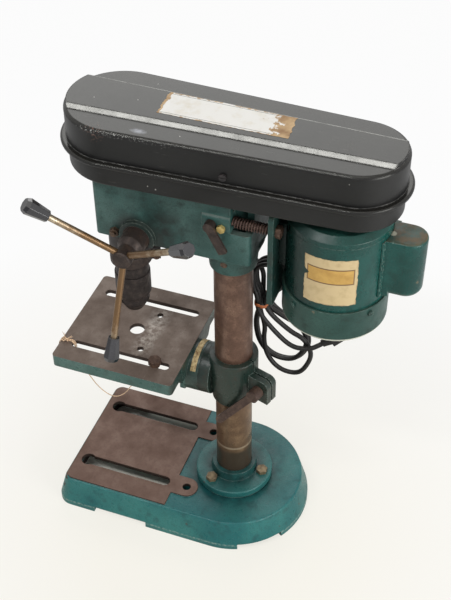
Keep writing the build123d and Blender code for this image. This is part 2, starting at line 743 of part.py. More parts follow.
with BuildPart() as tilt_scale:
    scale_plane = Plane(origin=(0, SCALE_FRONT_Y, TILT_Z), x_dir=(1, 0, 0), z_dir=(0, -1, 0))
    with BuildSketch(scale_plane):
        with BuildLine():
            inside = CenterArc((0, 0), TILT_DISC_RADIUS + SEAT_GAP / 2, SCALE_START, SCALE_SPAN)
            outside = CenterArc((0, 0), TILT_DISC_RADIUS + SCALE_THICK, SCALE_START, SCALE_SPAN)
            Line(inside @ 0, outside @ 0)
            Line(inside @ 1, outside @ 1)
        make_face()
    extrude(amount=-SCALE_WIDTH)
keep(tilt_scale, "tilt_scale")

with BuildPart() as tilt_stop_pin:
    bar(stop_plane, STOP_PIN_RADIUS, STOP_PIN_LENGTH)
    chamfer(edges().group_by(Axis.Y)[-1], 0.6)
keep(tilt_stop_pin, "tilt_stop_pin")

with BuildPart() as slot_bolt:
    hex_bolt(
        Plane(origin=(TABLE_SLOT_X, SLOT_BOLT_Y, TABLE_TOP_Z)),
        SLOT_BOLT_HEAD,
        SLOT_BOLT_HEAD_HEIGHT,
        SLOT_BOLT_RADIUS,
        SLOT_BOLT_LENGTH,
    )
keep(slot_bolt, "slot_bolt")

# Twine: round the bar in front of the near slot, down through the slot and up to the loose bolt
bar_front = TABLE_Y - TABLE_SIZE / 2 - TWINE_RADIUS - FACE_GAP
bar_rear = TABLE_SLOT_FRONT_Y + TWINE_RADIUS + FACE_GAP
bar_top = TABLE_TOP_Z + TWINE_RADIUS + FACE_GAP
twine_end = SLOT_BOLT_Y - SLOT_BOLT_RADIUS - FACE_GAP
twine_route = [
    (TABLE_SLOT_X, bar_front, 250),
    (TABLE_SLOT_X, bar_front, bar_top),
    (TABLE_SLOT_X, bar_rear, bar_top),
    (TABLE_SLOT_X, bar_rear, 243),
    (49, TABLE_Y - 51, 219),
    (48, TABLE_Y - 36, 191),
    (47, TABLE_Y - 17, 178),
    (47, TABLE_Y, 190),
    (48, TABLE_Y + 12, 213),
    (49, TABLE_Y + 28, 235),
    (TABLE_SLOT_X, twine_end, 244),
]
twine_bends = bend_radii(twine_route)
twine_bends[0] = twine_bends[1] = 2 * TWINE_RADIUS
print("twine bends", [round(radius, 1) for radius in twine_bends])
with BuildPart() as twine:
    with BuildLine() as twine_line:
        FilletPolyline(*twine_route, radius=twine_bends)
    with BuildSketch(Plane(origin=twine_route[0], z_dir=(0, 0, 1))):
        Circle(TWINE_RADIUS)
    sweep()
print("twine length", round(twine_line.wire().length, 1))
keep(twine, "twine")

# Quill feed: the pinion turns behind the quill and meshes with the rack cut into it
pitch_radius = MODULE * PINION_TEETH / 2
tooth_pitch = math.pi * MODULE
rack_pitch_line = RACK_TIP - MODULE
FEED_Y = SPINDLE_Y + rack_pitch_line + pitch_radius
spindle_section = upright(SPINDLE_Y)
spindle_axis = upright_axis(SPINDLE_Y)
feed_axis = Axis((0, FEED_Y, FEED_Z), (1, 0, 0))
feed_section = Plane(origin=(0, FEED_Y, FEED_Z), x_dir=(1, 0, 0), z_dir=(0, -1, 0))


def feed_plane(x):
    """Plane square to the feed axis: across is Y, up is Z."""
    return Plane(origin=(x, FEED_Y, FEED_Z), x_dir=(0, 1, 0), z_dir=(1, 0, 0))


def spindle_plane(z):
    return Plane(origin=(0, SPINDLE_Y, z))


# Head casting: an open box with tubes for the quill and the column and a cross bore for the pinion
cavity_floor = HEAD_BOTTOM_Z + HEAD_WALL
head_middle = (HEAD_FRONT_Y + HEAD_REAR_Y) / 2
head_length = HEAD_REAR_Y - HEAD_FRONT_Y
with BuildPart() as head_casting:
    with BuildSketch(Plane.XY.offset(HEAD_BOTTOM_Z)):
        with Locations((0, head_middle)):
            RectangleRounded(2 * HEAD_HALF_WIDTH, head_length, HEAD_CORNER)
    extrude(amount=HEAD_TOP_Z - HEAD_BOTTOM_Z)
    with BuildSketch(Plane.XY.offset(cavity_floor)):
        with Locations((0, head_middle)):
            Rectangle(2 * HEAD_HALF_WIDTH - 2 * HEAD_WALL, head_length - 2 * HEAD_WALL)
    extrude(amount=HEAD_TOP_Z - cavity_floor, mode=Mode.SUBTRACT)
    bar(spindle_plane(HEAD_BOTTOM_Z), QUILL_TUBE_RADIUS, HEAD_TOP_Z - HEAD_BOTTOM_Z)
    housing_plane = spindle_plane(QUILL_HOUSING_BOTTOM_Z)
    bar(housing_plane, QUILL_HOUSING_RADIUS, HEAD_BOTTOM_Z - QUILL_HOUSING_BOTTOM_Z)
    bar(Plane(origin=(0, COLUMN_Y, HEAD_BOTTOM_Z)), COLUMN_TUBE_RADIUS, COLUMN_TOP_Z - HEAD_BOTTOM_Z + 2)
    turned(
        [
            (0, HEAD_BOTTOM_Z + 3),
            (COLUMN_BOSS_RADIUS, HEAD_BOTTOM_Z + 3),
            COLUMN_BOSS_WAIST,
            COLUMN_BOSS_TOE,
            (0, COLUMN_BOSS_TOE[1]),
        ],
        column_section,
        column_axis,
    )
    bar(feed_plane(-HEAD_HALF_WIDTH), FEED_BOSS_RADIUS, HEAD_HALF_WIDTH + FEED_BOSS_OUTER_X)
    with BuildSketch(Plane(origin=(0, LUG_FRONT_Y, ROD_Z), x_dir=(1, 0, 0), z_dir=(0, 1, 0))):
        with Locations((LUG_OUTER_X - LUG_SIZE / 2, 0), (LUG_SIZE / 2 - LUG_OUTER_X, 0)):
            RectangleRounded(LUG_SIZE, LUG_SIZE, LUG_CORNER)
    extrude(amount=RECESS_FRONT_Y - LUG_FRONT_Y)
    recess_width = LUG_OUTER_X - RECESS_HALF_GAP
    with BuildSketch(Plane.XY.offset(RECESS_BOTTOM_Z)):
        for side in (-1, 1):
            with Locations((side * (RECESS_HALF_GAP + recess_width / 2), RECESS_FRONT_Y)):
                Rectangle(recess_width, head_length, align=(Align.CENTER, Align.MIN))
    extrude(amount=HEAD_TOP_Z - RECESS_BOTTOM_Z, mode=Mode.SUBTRACT)
    drill(housing_plane, QUILL_RADIUS + RUN_GAP, HEAD_TOP_Z - QUILL_HOUSING_BOTTOM_Z)
    boss_plane = Plane(origin=(0, COLUMN_Y, COLUMN_BOSS_TOE[1]))
    drill(boss_plane, COLUMN_RADIUS + SEAT_GAP, COLUMN_TOP_Z - COLUMN_BOSS_TOE[1])
    feed_bore_length = HEAD_HALF_WIDTH + FEED_BOSS_OUTER_X
    drill(feed_plane(-HEAD_HALF_WIDTH), FEED_JOURNAL_RADIUS + RUN_GAP, feed_bore_length)
    rod_bore_front = ROD_FRONT_Y - SLIDE_IN - 2
    with BuildSketch(Plane(origin=(0, rod_bore_front, ROD_Z), x_dir=(1, 0, 0), z_dir=(0, 1, 0))):
        with Locations((-ROD_X, 0), (ROD_X, 0)):
            Circle(ROD_RADIUS + RUN_GAP)
    extrude(amount=RECESS_FRONT_Y - rod_bore_front, mode=Mode.SUBTRACT)
    side_plane = Plane(origin=(LUG_OUTER_X, 0, 0), x_dir=(0, 1, 0), z_dir=(1, 0, 0))
    with BuildSketch(side_plane):
        with Locations((STOP_BOLT_Y, STOP_BOLT_Z)):
            Circle(PAN_SCREW_RADIUS + SEAT_GAP)
        with Locations((LOCK_Y, ROD_Z)):
            Circle(ROD_RADIUS + RUN_GAP)
    extrude(amount=ROD_X - LUG_OUTER_X, mode=Mode.SUBTRACT)
    with BuildSketch(side_plane):
        with Locations((SPINDLE_Y + GUIDE_SCREW_OFFSET, GUIDE_SCREW_Z)):
            Circle(GUIDE_SCREW_RADIUS + SEAT_GAP)
    extrude(amount=-LUG_OUTER_X + KEYWAY_DEPTH_X, mode=Mode.SUBTRACT)
    set_turn = math.radians(SET_SCREW_ANGLE)
    set_plane = Plane(
        origin=(0, COLUMN_Y, SET_SCREW_Z), z_dir=(math.cos(set_turn), math.sin(set_turn), 0)
    )
    drill(set_plane, SET_SCREW_RADIUS + SEAT_GAP, COLUMN_BOSS_RADIUS)
    with BuildSketch(Plane.XY.offset(HEAD_TOP_Z)):
        for across in (-1, 1):
            with Locations(*[(across * (HEAD_HALF_WIDTH - HEAD_WALL / 2), y) for y in PAN_SCREW_YS]):
                Circle(PAN_SCREW_RADIUS + SEAT_GAP)
    extrude(amount=-12, mode=Mode.SUBTRACT)
keep(head_casting, "head_casting")

# Screws of the head: column set screw, quill guide screw with its nut, slide stop bolt, pan screws
pan_floor = HEAD_TOP_Z + SHEET
with BuildPart() as head_screws:
    bar(set_plane.offset(COLUMN_RADIUS + SEAT_GAP), SET_SCREW_RADIUS, 6)
    guide_plane = Plane(
        origin=(HEAD_HALF_WIDTH, SPINDLE_Y + GUIDE_SCREW_OFFSET, GUIDE_SCREW_Z), z_dir=(1, 0, 0)
    )
    hex_bolt(guide_plane, GUIDE_NUT, 5, GUIDE_SCREW_RADIUS, HEAD_HALF_WIDTH - KEYWAY_DEPTH_X - 1)
    bar(guide_plane, GUIDE_SCREW_RADIUS, 8)
    hex_bolt(
        Plane(origin=(LUG_OUTER_X, STOP_BOLT_Y, STOP_BOLT_Z), z_dir=(1, 0, 0)),
        8.5,
        4,
        PAN_SCREW_RADIUS,
        LUG_OUTER_X - ROD_X - ROD_RADIUS - 1,
    )
    for across in (-1, 1):
        for y in PAN_SCREW_YS:
            screw_spot = (across * (HEAD_HALF_WIDTH - HEAD_WALL / 2), y, pan_floor)
            slotted_screw(Plane(origin=screw_spot), 4.5, 2.5, PAN_SCREW_RADIUS, 12)
keep(head_screws, "head_screws")

# Belt tension lock: a screw that bears on the near slide rod, with a flat lever
lock_drop = math.radians(LOCK_ARM_DROP)
lock_way = Vector(0, math.cos(lock_drop), -math.sin(lock_drop))
lock_seat = LUG_OUTER_X + FACE_GAP
with BuildPart() as tension_lock_lever:
    lock_plane = Plane(origin=(lock_seat, LOCK_Y, ROD_Z), x_dir=lock_way, z_dir=(1, 0, 0))
    bar(lock_plane, 6, 9)
    bar(lock_plane, ROD_RADIUS, ROD_X + ROD_RADIUS + RUN_GAP - lock_seat + 0.2)
    with BuildSketch(lock_plane.offset(4.5)):
        with Locations((LOCK_ARM_LENGTH / 2, 0)):
            Rectangle(LOCK_ARM_LENGTH, LOCK_ARM_WIDTH)
        fillet(vertices(), 1.5)
    extrude(amount=3.5)
keep(tension_lock_lever, "tension_lock_lever")

# Quill: a tube with the rack along its back, a keyway for the guide screw and two bearing seats
with BuildPart() as quill:
    ring(spindle_plane(QUILL_BOTTOM_Z), QUILL_BORE_RADIUS, QUILL_RADIUS, QUILL_TOP_Z - QUILL_BOTTOM_Z)
    drill(spindle_plane(QUILL_BOTTOM_Z), LOWER_BEARING[1] + SEAT_GAP, LOWER_BEARING[2])
    drill(spindle_plane(QUILL_TOP_Z), UPPER_BEARING[1] + SEAT_GAP, -UPPER_BEARING[2])
    rack_bottom = FEED_Z - (RACK_BELOW + 0.5) * tooth_pitch
    flat_depth = QUILL_RADIUS - RACK_TIP
    with BuildSketch(Plane.YZ):
        with Locations((SPINDLE_Y + RACK_TIP, rack_bottom)):
            Rectangle(2 * flat_depth, QUILL_TOP_Z, align=(Align.MIN, Align.MIN))
        slope = math.tan(math.radians(PRESSURE_ANGLE))
        half_gap = tooth_pitch / 4 + BACKLASH / 2
        half_mouth = half_gap + MODULE * slope
        half_root = half_gap - 1.25 * MODULE * slope
        for number in range(-RACK_BELOW, RACK_ABOVE + 1):
            with Locations((SPINDLE_Y + rack_pitch_line, FEED_Z + number * tooth_pitch)):
                Polygon(
                    (-1.25 * MODULE, -half_root),
                    (MODULE, -half_mouth),
                    (MODULE, half_mouth),
                    (-1.25 * MODULE, half_root),
                    align=None,
                )
    extrude(amount=QUILL_RADIUS, both=True, mode=Mode.SUBTRACT)
    keyway_bottom = GUIDE_SCREW_Z - 2 * GUIDE_SCREW_RADIUS
    with BuildSketch(Plane.YZ.offset(KEYWAY_DEPTH_X)):
        with Locations((SPINDLE_Y + GUIDE_SCREW_OFFSET, keyway_bottom)):
            Rectangle(
                2 * KEYWAY_HALF_WIDTH,
                STROKE + 4 * GUIDE_SCREW_RADIUS,
                align=(Align.CENTER, Align.MIN),
            )
    extrude(amount=QUILL_RADIUS, mode=Mode.SUBTRACT)
keep(quill, "quill")

with BuildPart() as quill_bearings:
    ring(spindle_plane(QUILL_BOTTOM_Z), LOWER_BEARING[0], LOWER_BEARING[1], LOWER_BEARING[2])
    ring(spindle_plane(QUILL_TOP_Z), UPPER_BEARING[0], UPPER_BEARING[1], -UPPER_BEARING[2])
keep(quill_bearings, "quill_bearings")

# Quill stop collar: a split clamp ring with one ear, and its screw
ear_turn = math.radians(STOP_COLLAR_ANGLE)
stop_way = Vector(math.cos(ear_turn), math.sin(ear_turn), 0)
stop_side = Vector(math.sin(ear_turn), -math.cos(ear_turn), 0)
stop_middle = QUILL_BOTTOM_Z + STOP_COLLAR_HEIGHT / 2
stop_ear_plane = Plane(origin=(0, SPINDLE_Y, stop_middle), x_dir=stop_way, z_dir=stop_side)
stop_screw_reach = (STOP_COLLAR_RADIUS + STOP_EAR_REACH) / 2
with BuildPart() as quill_stop_collar:
    bar(spindle_plane(QUILL_BOTTOM_Z), STOP_COLLAR_RADIUS, STOP_COLLAR_HEIGHT)
    chamfer(edges().filter_by(GeomType.CIRCLE), 1)
    with BuildSketch(stop_ear_plane):
        with Locations((STOP_EAR_REACH / 2, 0)):
            Rectangle(STOP_EAR_REACH, STOP_EAR_HEIGHT)
    extrude(amount=STOP_EAR_WIDTH / 2, both=True)
    with BuildSketch(stop_ear_plane):
        with Locations((STOP_EAR_REACH, 0)):
            Rectangle(2 * STOP_EAR_REACH, 2 * STOP_COLLAR_HEIGHT)
    extrude(amount=STOP_SPLIT / 2, both=True, mode=Mode.SUBTRACT)
    drill(spindle_plane(QUILL_BOTTOM_Z), QUILL_RADIUS + SEAT_GAP, STOP_COLLAR_HEIGHT)
    with BuildSketch(stop_ear_plane):
        with Locations((stop_screw_reach, 0)):
            Circle(STOP_SCREW_RADIUS + SEAT_GAP)
    extrude(amount=STOP_EAR_WIDTH, both=True, mode=Mode.SUBTRACT)
keep(quill_stop_collar, "quill_stop_collar")

with BuildPart() as collar_screw:
    screw_origin = stop_ear_plane.from_local_coords(Vector(stop_screw_reach, 0, STOP_EAR_WIDTH / 2))
    slotted_screw(Plane(origin=screw_origin, z_dir=stop_side), 4.2, 4, STOP_SCREW_RADIUS, STOP_EAR_WIDTH)
keep(collar_screw, "collar_screw")

# Spindle: taper for the chuck, two journals and the driven upper end
with BuildPart() as spindle:
    lower = LOWER_BEARING[0] - RUN_GAP
    upper = UPPER_BEARING[0] - RUN_GAP
    shoulder = CHUCK_TOP_Z + FACE_GAP
    turned(
        [
            (0, TAPER_BOTTOM_Z),
            (TAPER_RADII[0], TAPER_BOTTOM_Z),
            (TAPER_RADII[1], shoulder),
            (SPINDLE_COLLAR_RADIUS, shoulder),
            (SPINDLE_COLLAR_RADIUS, QUILL_BOTTOM_Z - FACE_GAP),
            (lower, QUILL_BOTTOM_Z - FACE_GAP),
            (lower, QUILL_TOP_Z - UPPER_BEARING[2] - FACE_GAP),
            (upper, QUILL_TOP_Z - UPPER_BEARING[2] - FACE_GAP),
            (upper, SPINDLE_TOP_Z),
            (0, SPINDLE_TOP_Z),
        ],
        spindle_section,
        spindle_axis,
    )
    chamfer(edges().group_by(Axis.Z)[-1], 0.8)
keep(spindle, "spindle")

# Chuck: body with its jaw bores and key holes, toothed sleeve and three jaws
jaw_lean = math.radians(JAW_ANGLE)


def jaw_way(number):
    """Direction that a jaw slides in as the chuck opens."""
    turn = math.radians(120 * number + 30)
    out = Vector(math.cos(turn), math.sin(turn), 0)
    return out * math.sin(jaw_lean) + Vector(0, 0, math.cos(jaw_lean))


def jaw_plane(number):
    turn = math.radians(120 * number + 30)
    tip = Vector(
        JAW_TIP_OFFSET * math.cos(turn), SPINDLE_Y + JAW_TIP_OFFSET * math.sin(turn), JAW_TIP_Z
    )
    return Plane(origin=tip, z_dir=jaw_way(number))


with BuildPart() as chuck_body:
    turned(
        [
            (0, CHUCK_TIP_Z),
            (CHUCK_TIP_RADIUS, CHUCK_TIP_Z),
            (CHUCK_NOSE_RADIUS, SLEEVE_BOTTOM_Z - 9),
            (CHUCK_NOSE_RADIUS, SLEEVE_BOTTOM_Z - FACE_GAP),
            (CHUCK_CORE_RADIUS, SLEEVE_BOTTOM_Z - FACE_GAP),
            (CHUCK_CORE_RADIUS, SLEEVE_TOP_Z + FACE_GAP),
            (CHUCK_BODY_RADIUS, SLEEVE_TOP_Z + FACE_GAP),
            (CHUCK_BODY_RADIUS, CHUCK_TOP_Z - 2),
            (CHUCK_BODY_RADIUS - 2, CHUCK_TOP_Z),
            (0, CHUCK_TOP_Z),
        ],
        spindle_section,
        spindle_axis,
    )
    turned(
        [
            (0, TAPER_BOTTOM_Z - 1),
            (TAPER_RADII[0] + SEAT_GAP, TAPER_BOTTOM_Z - 1),
            (TAPER_RADII[1] + SEAT_GAP, CHUCK_TOP_Z),
            (0, CHUCK_TOP_Z),
        ],
        spindle_section,
        spindle_axis,
        mode=Mode.SUBTRACT,
    )
    drill(spindle_plane(CHUCK_TIP_Z), DRILL_BORE_RADIUS, 30)
    for number in range(3):
        drill(jaw_plane(number), JAW_RADIUS + RUN_GAP, JAW_LENGTH + JAW_TRAVEL + 2)
        turn = math.radians(120 * number + 90)
        key_way = (math.cos(turn), math.sin(turn), 0)
        key_plane = Plane(origin=(0, SPINDLE_Y, KEY_HOLE_Z), z_dir=key_way)
        drill(key_plane.offset(12), KEY_HOLE_RADIUS, 12)
keep(chuck_body, "chuck_body")

with BuildPart() as chuck_sleeve:
    turned(
        [
            (CHUCK_CORE_RADIUS + FACE_GAP, SLEEVE_BOTTOM_Z),
            (CHUCK_RADIUS - 1.5, SLEEVE_BOTTOM_Z),
            (CHUCK_RADIUS, SLEEVE_BOTTOM_Z + 4),
            (CHUCK_RADIUS, SLEEVE_TOP_Z - 1),
            (CHUCK_RADIUS - 1, SLEEVE_TOP_Z),
            (CHUCK_CORE_RADIUS + FACE_GAP, SLEEVE_TOP_Z),
        ],
        spindle_section,
        spindle_axis,
    )
    with BuildSketch(spindle_plane(SLEEVE_BOTTOM_Z)):
        with PolarLocations(CHUCK_RADIUS, SLEEVE_TEETH):
            RegularPolygon(1.6, 3)
    extrude(amount=3.5, mode=Mode.SUBTRACT)
keep(chuck_sleeve, "chuck_sleeve")

for number in range(3):
    with BuildPart() as jaw:
        bar(jaw_plane(number), JAW_RADIUS, JAW_LENGTH)
        turn = math.radians(120 * number + 30)
        out = Vector(math.cos(turn), math.sin(turn), 0)
        face_plane = Plane(origin=Vector(0, SPINDLE_Y, JAW_TIP_Z) + out * 1.2, z_dir=out * -1)
        with BuildSketch(face_plane):
            Rectangle(40, 100)
        extrude(amount=20, mode=Mode.SUBTRACT)
        with BuildSketch(spindle_plane(JAW_TIP_Z)):
            Rectangle(60, 60)
        extrude(amount=-20, mode=Mode.SUBTRACT)
    keep(jaw, f"chuck_jaw_{number + 1}")

# Pinion shaft: two journals, the toothed part between them and a stub at each end
base_radius = pitch_radius * math.cos(math.radians(PRESSURE_ANGLE))
tip_radius = pitch_radius + MODULE
root_radius = pitch_radius - 1.25 * MODULE


def flank(radius):
    """Half the angle of a pinion tooth at a radius, on an involute flank."""
    lean = math.radians(PRESSURE_ANGLE)
    at_pitch = math.pi / (2 * PINION_TEETH) + math.tan(lean) - lean
    here = math.acos(min(1, base_radius / radius))
    return at_pitch - (math.tan(here) - here)


def flank_point(radius, side):
    return (radius * math.cos(flank(radius)), side * radius * math.sin(flank(radius)))


middle_radius = (base_radius + tip_radius) / 2
with BuildSketch() as tooth:
    with BuildLine():
        for side in (-1, 1):
            foot = (0.97 * root_radius, side * root_radius * math.sin(flank(base_radius)))
            Line(foot, flank_point(base_radius, side))
            ThreePointArc(
                flank_point(base_radius, side),
                flank_point(middle_radius, side),
                flank_point(tip_radius, side),
            )
        ThreePointArc(flank_point(tip_radius, -1), (tip_radius, 0), flank_point(tip_radius, 1))
        foot_half = root_radius * math.sin(flank(base_radius))
        Line((0.97 * root_radius, -foot_half), (0.97 * root_radius, foot_half))
    make_face()

hub_seat_x = FEED_BOSS_OUTER_X + FACE_GAP
with BuildPart() as pinion_shaft:
    # The journals begin where the round of the quill has fallen clear of them
    quill_clear = FEED_Y - FEED_JOURNAL_RADIUS - FACE_GAP - SPINDLE_Y
    neck = max(PINION_HALF_WIDTH + 1, math.sqrt(max(0, QUILL_RADIUS**2 - quill_clear**2)))
    cup_end = -HEAD_HALF_WIDTH - CUP_DEPTH + CUP_WALL + 2
    turned(
        [
            (cup_end, 0),
            (cup_end, SPRING_STUB_RADIUS),
            (-HEAD_HALF_WIDTH, SPRING_STUB_RADIUS),
            (-HEAD_HALF_WIDTH, FEED_JOURNAL_RADIUS),
            (-neck, FEED_JOURNAL_RADIUS),
            (-neck, root_radius),
            (neck, root_radius),
            (neck, FEED_JOURNAL_RADIUS),
            (hub_seat_x - SEAT_GAP, FEED_JOURNAL_RADIUS),
            (hub_seat_x - SEAT_GAP, FEED_STUB_RADIUS),
            (HUB_STEP_X - 4, FEED_STUB_RADIUS),
            (HUB_STEP_X - 4, 0),
        ],
        feed_section,
        feed_axis,
    )
    with BuildSketch(feed_plane(-PINION_HALF_WIDTH)):
        with PolarLocations(0, PINION_TEETH):
            add(tooth.sketch)
    extrude(amount=2 * PINION_HALF_WIDTH)
keep(pinion_shaft, "pinion_shaft")


def spoke_plane(angle, reach):
    """Plane square to a spoke at a distance from the point where the spokes meet."""
    turn = math.radians(angle)
    lean = math.radians(SPOKE_LEAN)
    way = Vector(math.sin(lean), math.cos(lean) * math.cos(turn), math.cos(lean) * math.sin(turn))
    return Plane(origin=Vector(SPOKE_X, FEED_Y, FEED_Z) + way * reach, z_dir=way)


with BuildPart() as feed_hub:
    turned(
        [
            (hub_seat_x, FEED_STUB_RADIUS + SEAT_GAP),
            (hub_seat_x, HUB_RADIUS),
            (HUB_STEP_X - 8, HUB_RADIUS),
            (HUB_STEP_X, HUB_HEAD_RADIUS),
            (HUB_END_X - 1.5, HUB_HEAD_RADIUS),
            (HUB_END_X, HUB_HEAD_RADIUS - 1.5),
            (HUB_END_X, 0),
            (HUB_STEP_X - 3, 0),
            (HUB_STEP_X - 3, FEED_STUB_RADIUS + SEAT_GAP),
        ],
        feed_section,
        feed_axis,
    )
    for angle in SPOKE_ANGLES:
        drill(spoke_plane(angle, SPOKE_START), SPOKE_RADIUS + SEAT_GAP, HUB_HEAD_RADIUS)
keep(feed_hub, "feed_hub")

with BuildPart() as feed_spokes:
    for angle in SPOKE_ANGLES:
        bar(spoke_plane(angle, SPOKE_START + SEAT_GAP), SPOKE_RADIUS, SPOKE_END - SPOKE_START)
keep(feed_spokes, "feed_spokes")

with BuildPart() as feed_knobs:
    for angle in SPOKE_ANGLES:
        for reach, radius in zip((KNOB_START, KNOB_SHOULDER, KNOB_END), KNOB_RADII):
            with BuildSketch(spoke_plane(angle, reach)):
                RegularPolygon(radius, KNOB_FACETS)
        loft(ruled=True)
        drill(spoke_plane(angle, KNOB_START), SPOKE_RADIUS + SEAT_GAP, SPOKE_END - KNOB_START + 0.5)
keep(feed_knobs, "feed_knobs")

# Return spring: a flat coil in a cup on the left of the head
with BuildPart() as return_spring_cup:
    cup_base = feed_plane(-HEAD_HALF_WIDTH)
    bar(cup_base, CUP_RADIUS, -CUP_DEPTH)
    drill(cup_base, CUP_RADIUS - CUP_WALL, CUP_WALL - CUP_DEPTH)
    chamfer(edges().filter_by(GeomType.CIRCLE).sort_by(Axis.X)[0], 1)
keep(return_spring_cup, "return_spring_cup")

with BuildPart() as return_spring:
    with BuildSketch(feed_plane(-HEAD_HALF_WIDTH - (CUP_DEPTH + COIL_WIDTH) / 2)):
        with BuildLine():
            for half in range(2 * COIL_TURNS):
                radius = COIL_INNER_RADIUS + half * COIL_STEP / 2
                start = 0 if half % 2 == 0 else 180
                CenterArc((0 if half % 2 == 0 else COIL_STEP / 2, 0), radius, start, 180)
        trace(line_width=COIL_THICK)
    extrude(amount=COIL_WIDTH)
keep(return_spring, "return_spring")

# Belt case pan: pressed sheet on top of the head, with openings for the sleeve and the motor shaft
with BuildPart() as belt_case_pan:
    extrude(case_outline(HEAD_TOP_Z, -PAN_INSET), amount=PAN_TOP_Z - HEAD_TOP_Z)
    fillet(edges().group_by(Axis.Z)[0], 2.5)
    pan_inside = case_outline(pan_floor, -PAN_INSET - SHEET)
    extrude(pan_inside, amount=PAN_TOP_Z - pan_floor, mode=Mode.SUBTRACT)
    with BuildSketch(Plane.XY.offset(HEAD_TOP_Z)):
        with Locations((0, SPINDLE_Y)):
            Circle(QUILL_RADIUS + 3)
        with Locations((0, MOTOR_Y + (SLIDE_OUT - SLIDE_IN) / 2)):
            SlotCenterToCenter(SLIDE_IN + SLIDE_OUT, 2 * SHAFT_SLOT_RADIUS, rotation=90)
        for across in (-1, 1):
            with Locations(*[(across * (HEAD_HALF_WIDTH - HEAD_WALL / 2), y) for y in PAN_SCREW_YS]):
                Circle(PAN_SCREW_RADIUS + SEAT_GAP)
    extrude(amount=SHEET, mode=Mode.SUBTRACT)
keep(belt_case_pan, "belt_case_pan")

# Belt case lid: deep cover with a rolled bead at its rim and a raised panel along its top
panel_top = LID_TOP_Z + PANEL_RISE
panel_ends = (
    (CASE_FRONT_Y - CASE_FRONT_RADIUS, PANEL_FRONT_HALF),
    (CASE_REAR_Y + CASE_REAR_RADIUS, PANEL_REAR_HALF),
)


def raised_panel(inset, drop):
    """Panel ridge along the lid, cut to the plan of the lid drawn in by an inset."""
    with BuildPart() as ridge:
        for y, half in panel_ends:
            foot = half + PANEL_FLARE
            with BuildSketch(Plane(origin=(0, y, -drop), x_dir=(1, 0, 0), z_dir=(0, -1, 0))):
                Polygon(
                    (-foot, LID_TOP_Z - LID_EDGE),
                    (-foot, LID_TOP_Z),
                    (-half, panel_top),
                    (half, panel_top),
                    (foot, LID_TOP_Z),
                    (foot, LID_TOP_Z - LID_EDGE),
                    align=None,
                )
        loft(ruled=True)
        extrude(case_outline(LID_TOP_Z - 2 * LID_EDGE, -inset), amount=4 * LID_EDGE, mode=Mode.INTERSECT)
    return ridge.part


# The straight side walls of the case lean in towards the rear
wall_lean = (CASE_FRONT_RADIUS - CASE_REAR_RADIUS) / (CASE_REAR_Y - CASE_FRONT_Y)
wall_cross = math.sqrt(1 - wall_lean**2)
wall_reach = CASE_FRONT_RADIUS + wall_lean * CASE_FRONT_Y


def wall_plane(side, y):
    """Plane across a side wall: local x points out of the case and local y up."""
    out = Vector(side * wall_cross, wall_lean, 0)
    along = Vector(-side * wall_lean, wall_cross, 0)
    foot = out * wall_reach
    spot = foot + along * ((y - foot.Y) / along.Y)
    return Plane(origin=spot, x_dir=out, z_dir=out.cross(Vector(0, 0, 1)))


near_wall = wall_plane(1, CATCH_Y)
catch_plane = Plane(origin=near_wall.from_local_coords(Vector(0, CATCH_Z, 0)), z_dir=near_wall.x_dir)
panel_outside = raised_panel(PANEL_END_INSET, 0)
panel_inside = raised_panel(PANEL_END_INSET + SHEET, SHEET)
with BuildPart() as belt_case_lid:
    extrude(case_outline(BEAD_BOTTOM_Z, BEAD_OUT), amount=BEAD_TOP_Z - BEAD_BOTTOM_Z)
    fillet(edges().group_by(Axis.Z)[0] + edges().group_by(Axis.Z)[-1], BEAD_ROUND)
    extrude(case_outline(LID_SEAT_Z, 0), amount=LID_TOP_Z - LID_SEAT_Z)
    fillet(edges().group_by(Axis.Z)[-1], LID_EDGE)
    add(panel_outside)
    extrude(case_outline(LID_SEAT_Z, -SHEET), amount=LID_TOP_Z - SHEET - LID_SEAT_Z, mode=Mode.SUBTRACT)
    skirt_inside = case_outline(BEAD_BOTTOM_Z, SKIRT_GAP - PAN_INSET)
    extrude(skirt_inside, amount=LID_SEAT_Z - BEAD_BOTTOM_Z, mode=Mode.SUBTRACT)
    add(panel_inside, mode=Mode.SUBTRACT)
    drill(catch_plane.offset(-3 * SHEET), CATCH_RADIUS / 2 + SEAT_GAP, 6 * SHEET)
keep(belt_case_lid, "belt_case_lid")

with BuildPart() as lid_catch_screw:
    slotted_screw(catch_plane, CATCH_RADIUS, 3, CATCH_RADIUS / 2, 6)
keep(lid_catch_screw, "lid_catch_screw")

# Hinge of the lid on the left wall: two leaves on the pan with their pins, two leaves on the lid
lid_leaf_offset = (PAN_KNUCKLE + LID_KNUCKLE) / 2 + 0.4
with BuildPart() as pan_hinge:
    for y in HINGE_YS:
        leaf_plane = wall_plane(-1, y)
        with BuildSketch(leaf_plane):
            Polygon(
                (-PAN_INSET, HINGE_Z - 18),
                (1, HINGE_Z - 18),
                (1, HINGE_Z - 4),
                (HINGE_OUT, HINGE_Z - 4),
                (HINGE_OUT, HINGE_Z - 1),
                (-PAN_INSET, HINGE_Z - 1),
                align=None,
            )
            with Locations((HINGE_OUT, HINGE_Z)):
                Circle(KNUCKLE_RADIUS)
                Circle(HINGE_PIN_RADIUS + SEAT_GAP, mode=Mode.SUBTRACT)
        extrude(amount=PAN_KNUCKLE / 2, both=True)
        with BuildSketch(leaf_plane):
            with Locations((HINGE_OUT, HINGE_Z)):
                Circle(HINGE_PIN_RADIUS)
        extrude(amount=PAN_KNUCKLE / 2 + LID_KNUCKLE + 1, both=True)
keep(pan_hinge, "pan_hinge")

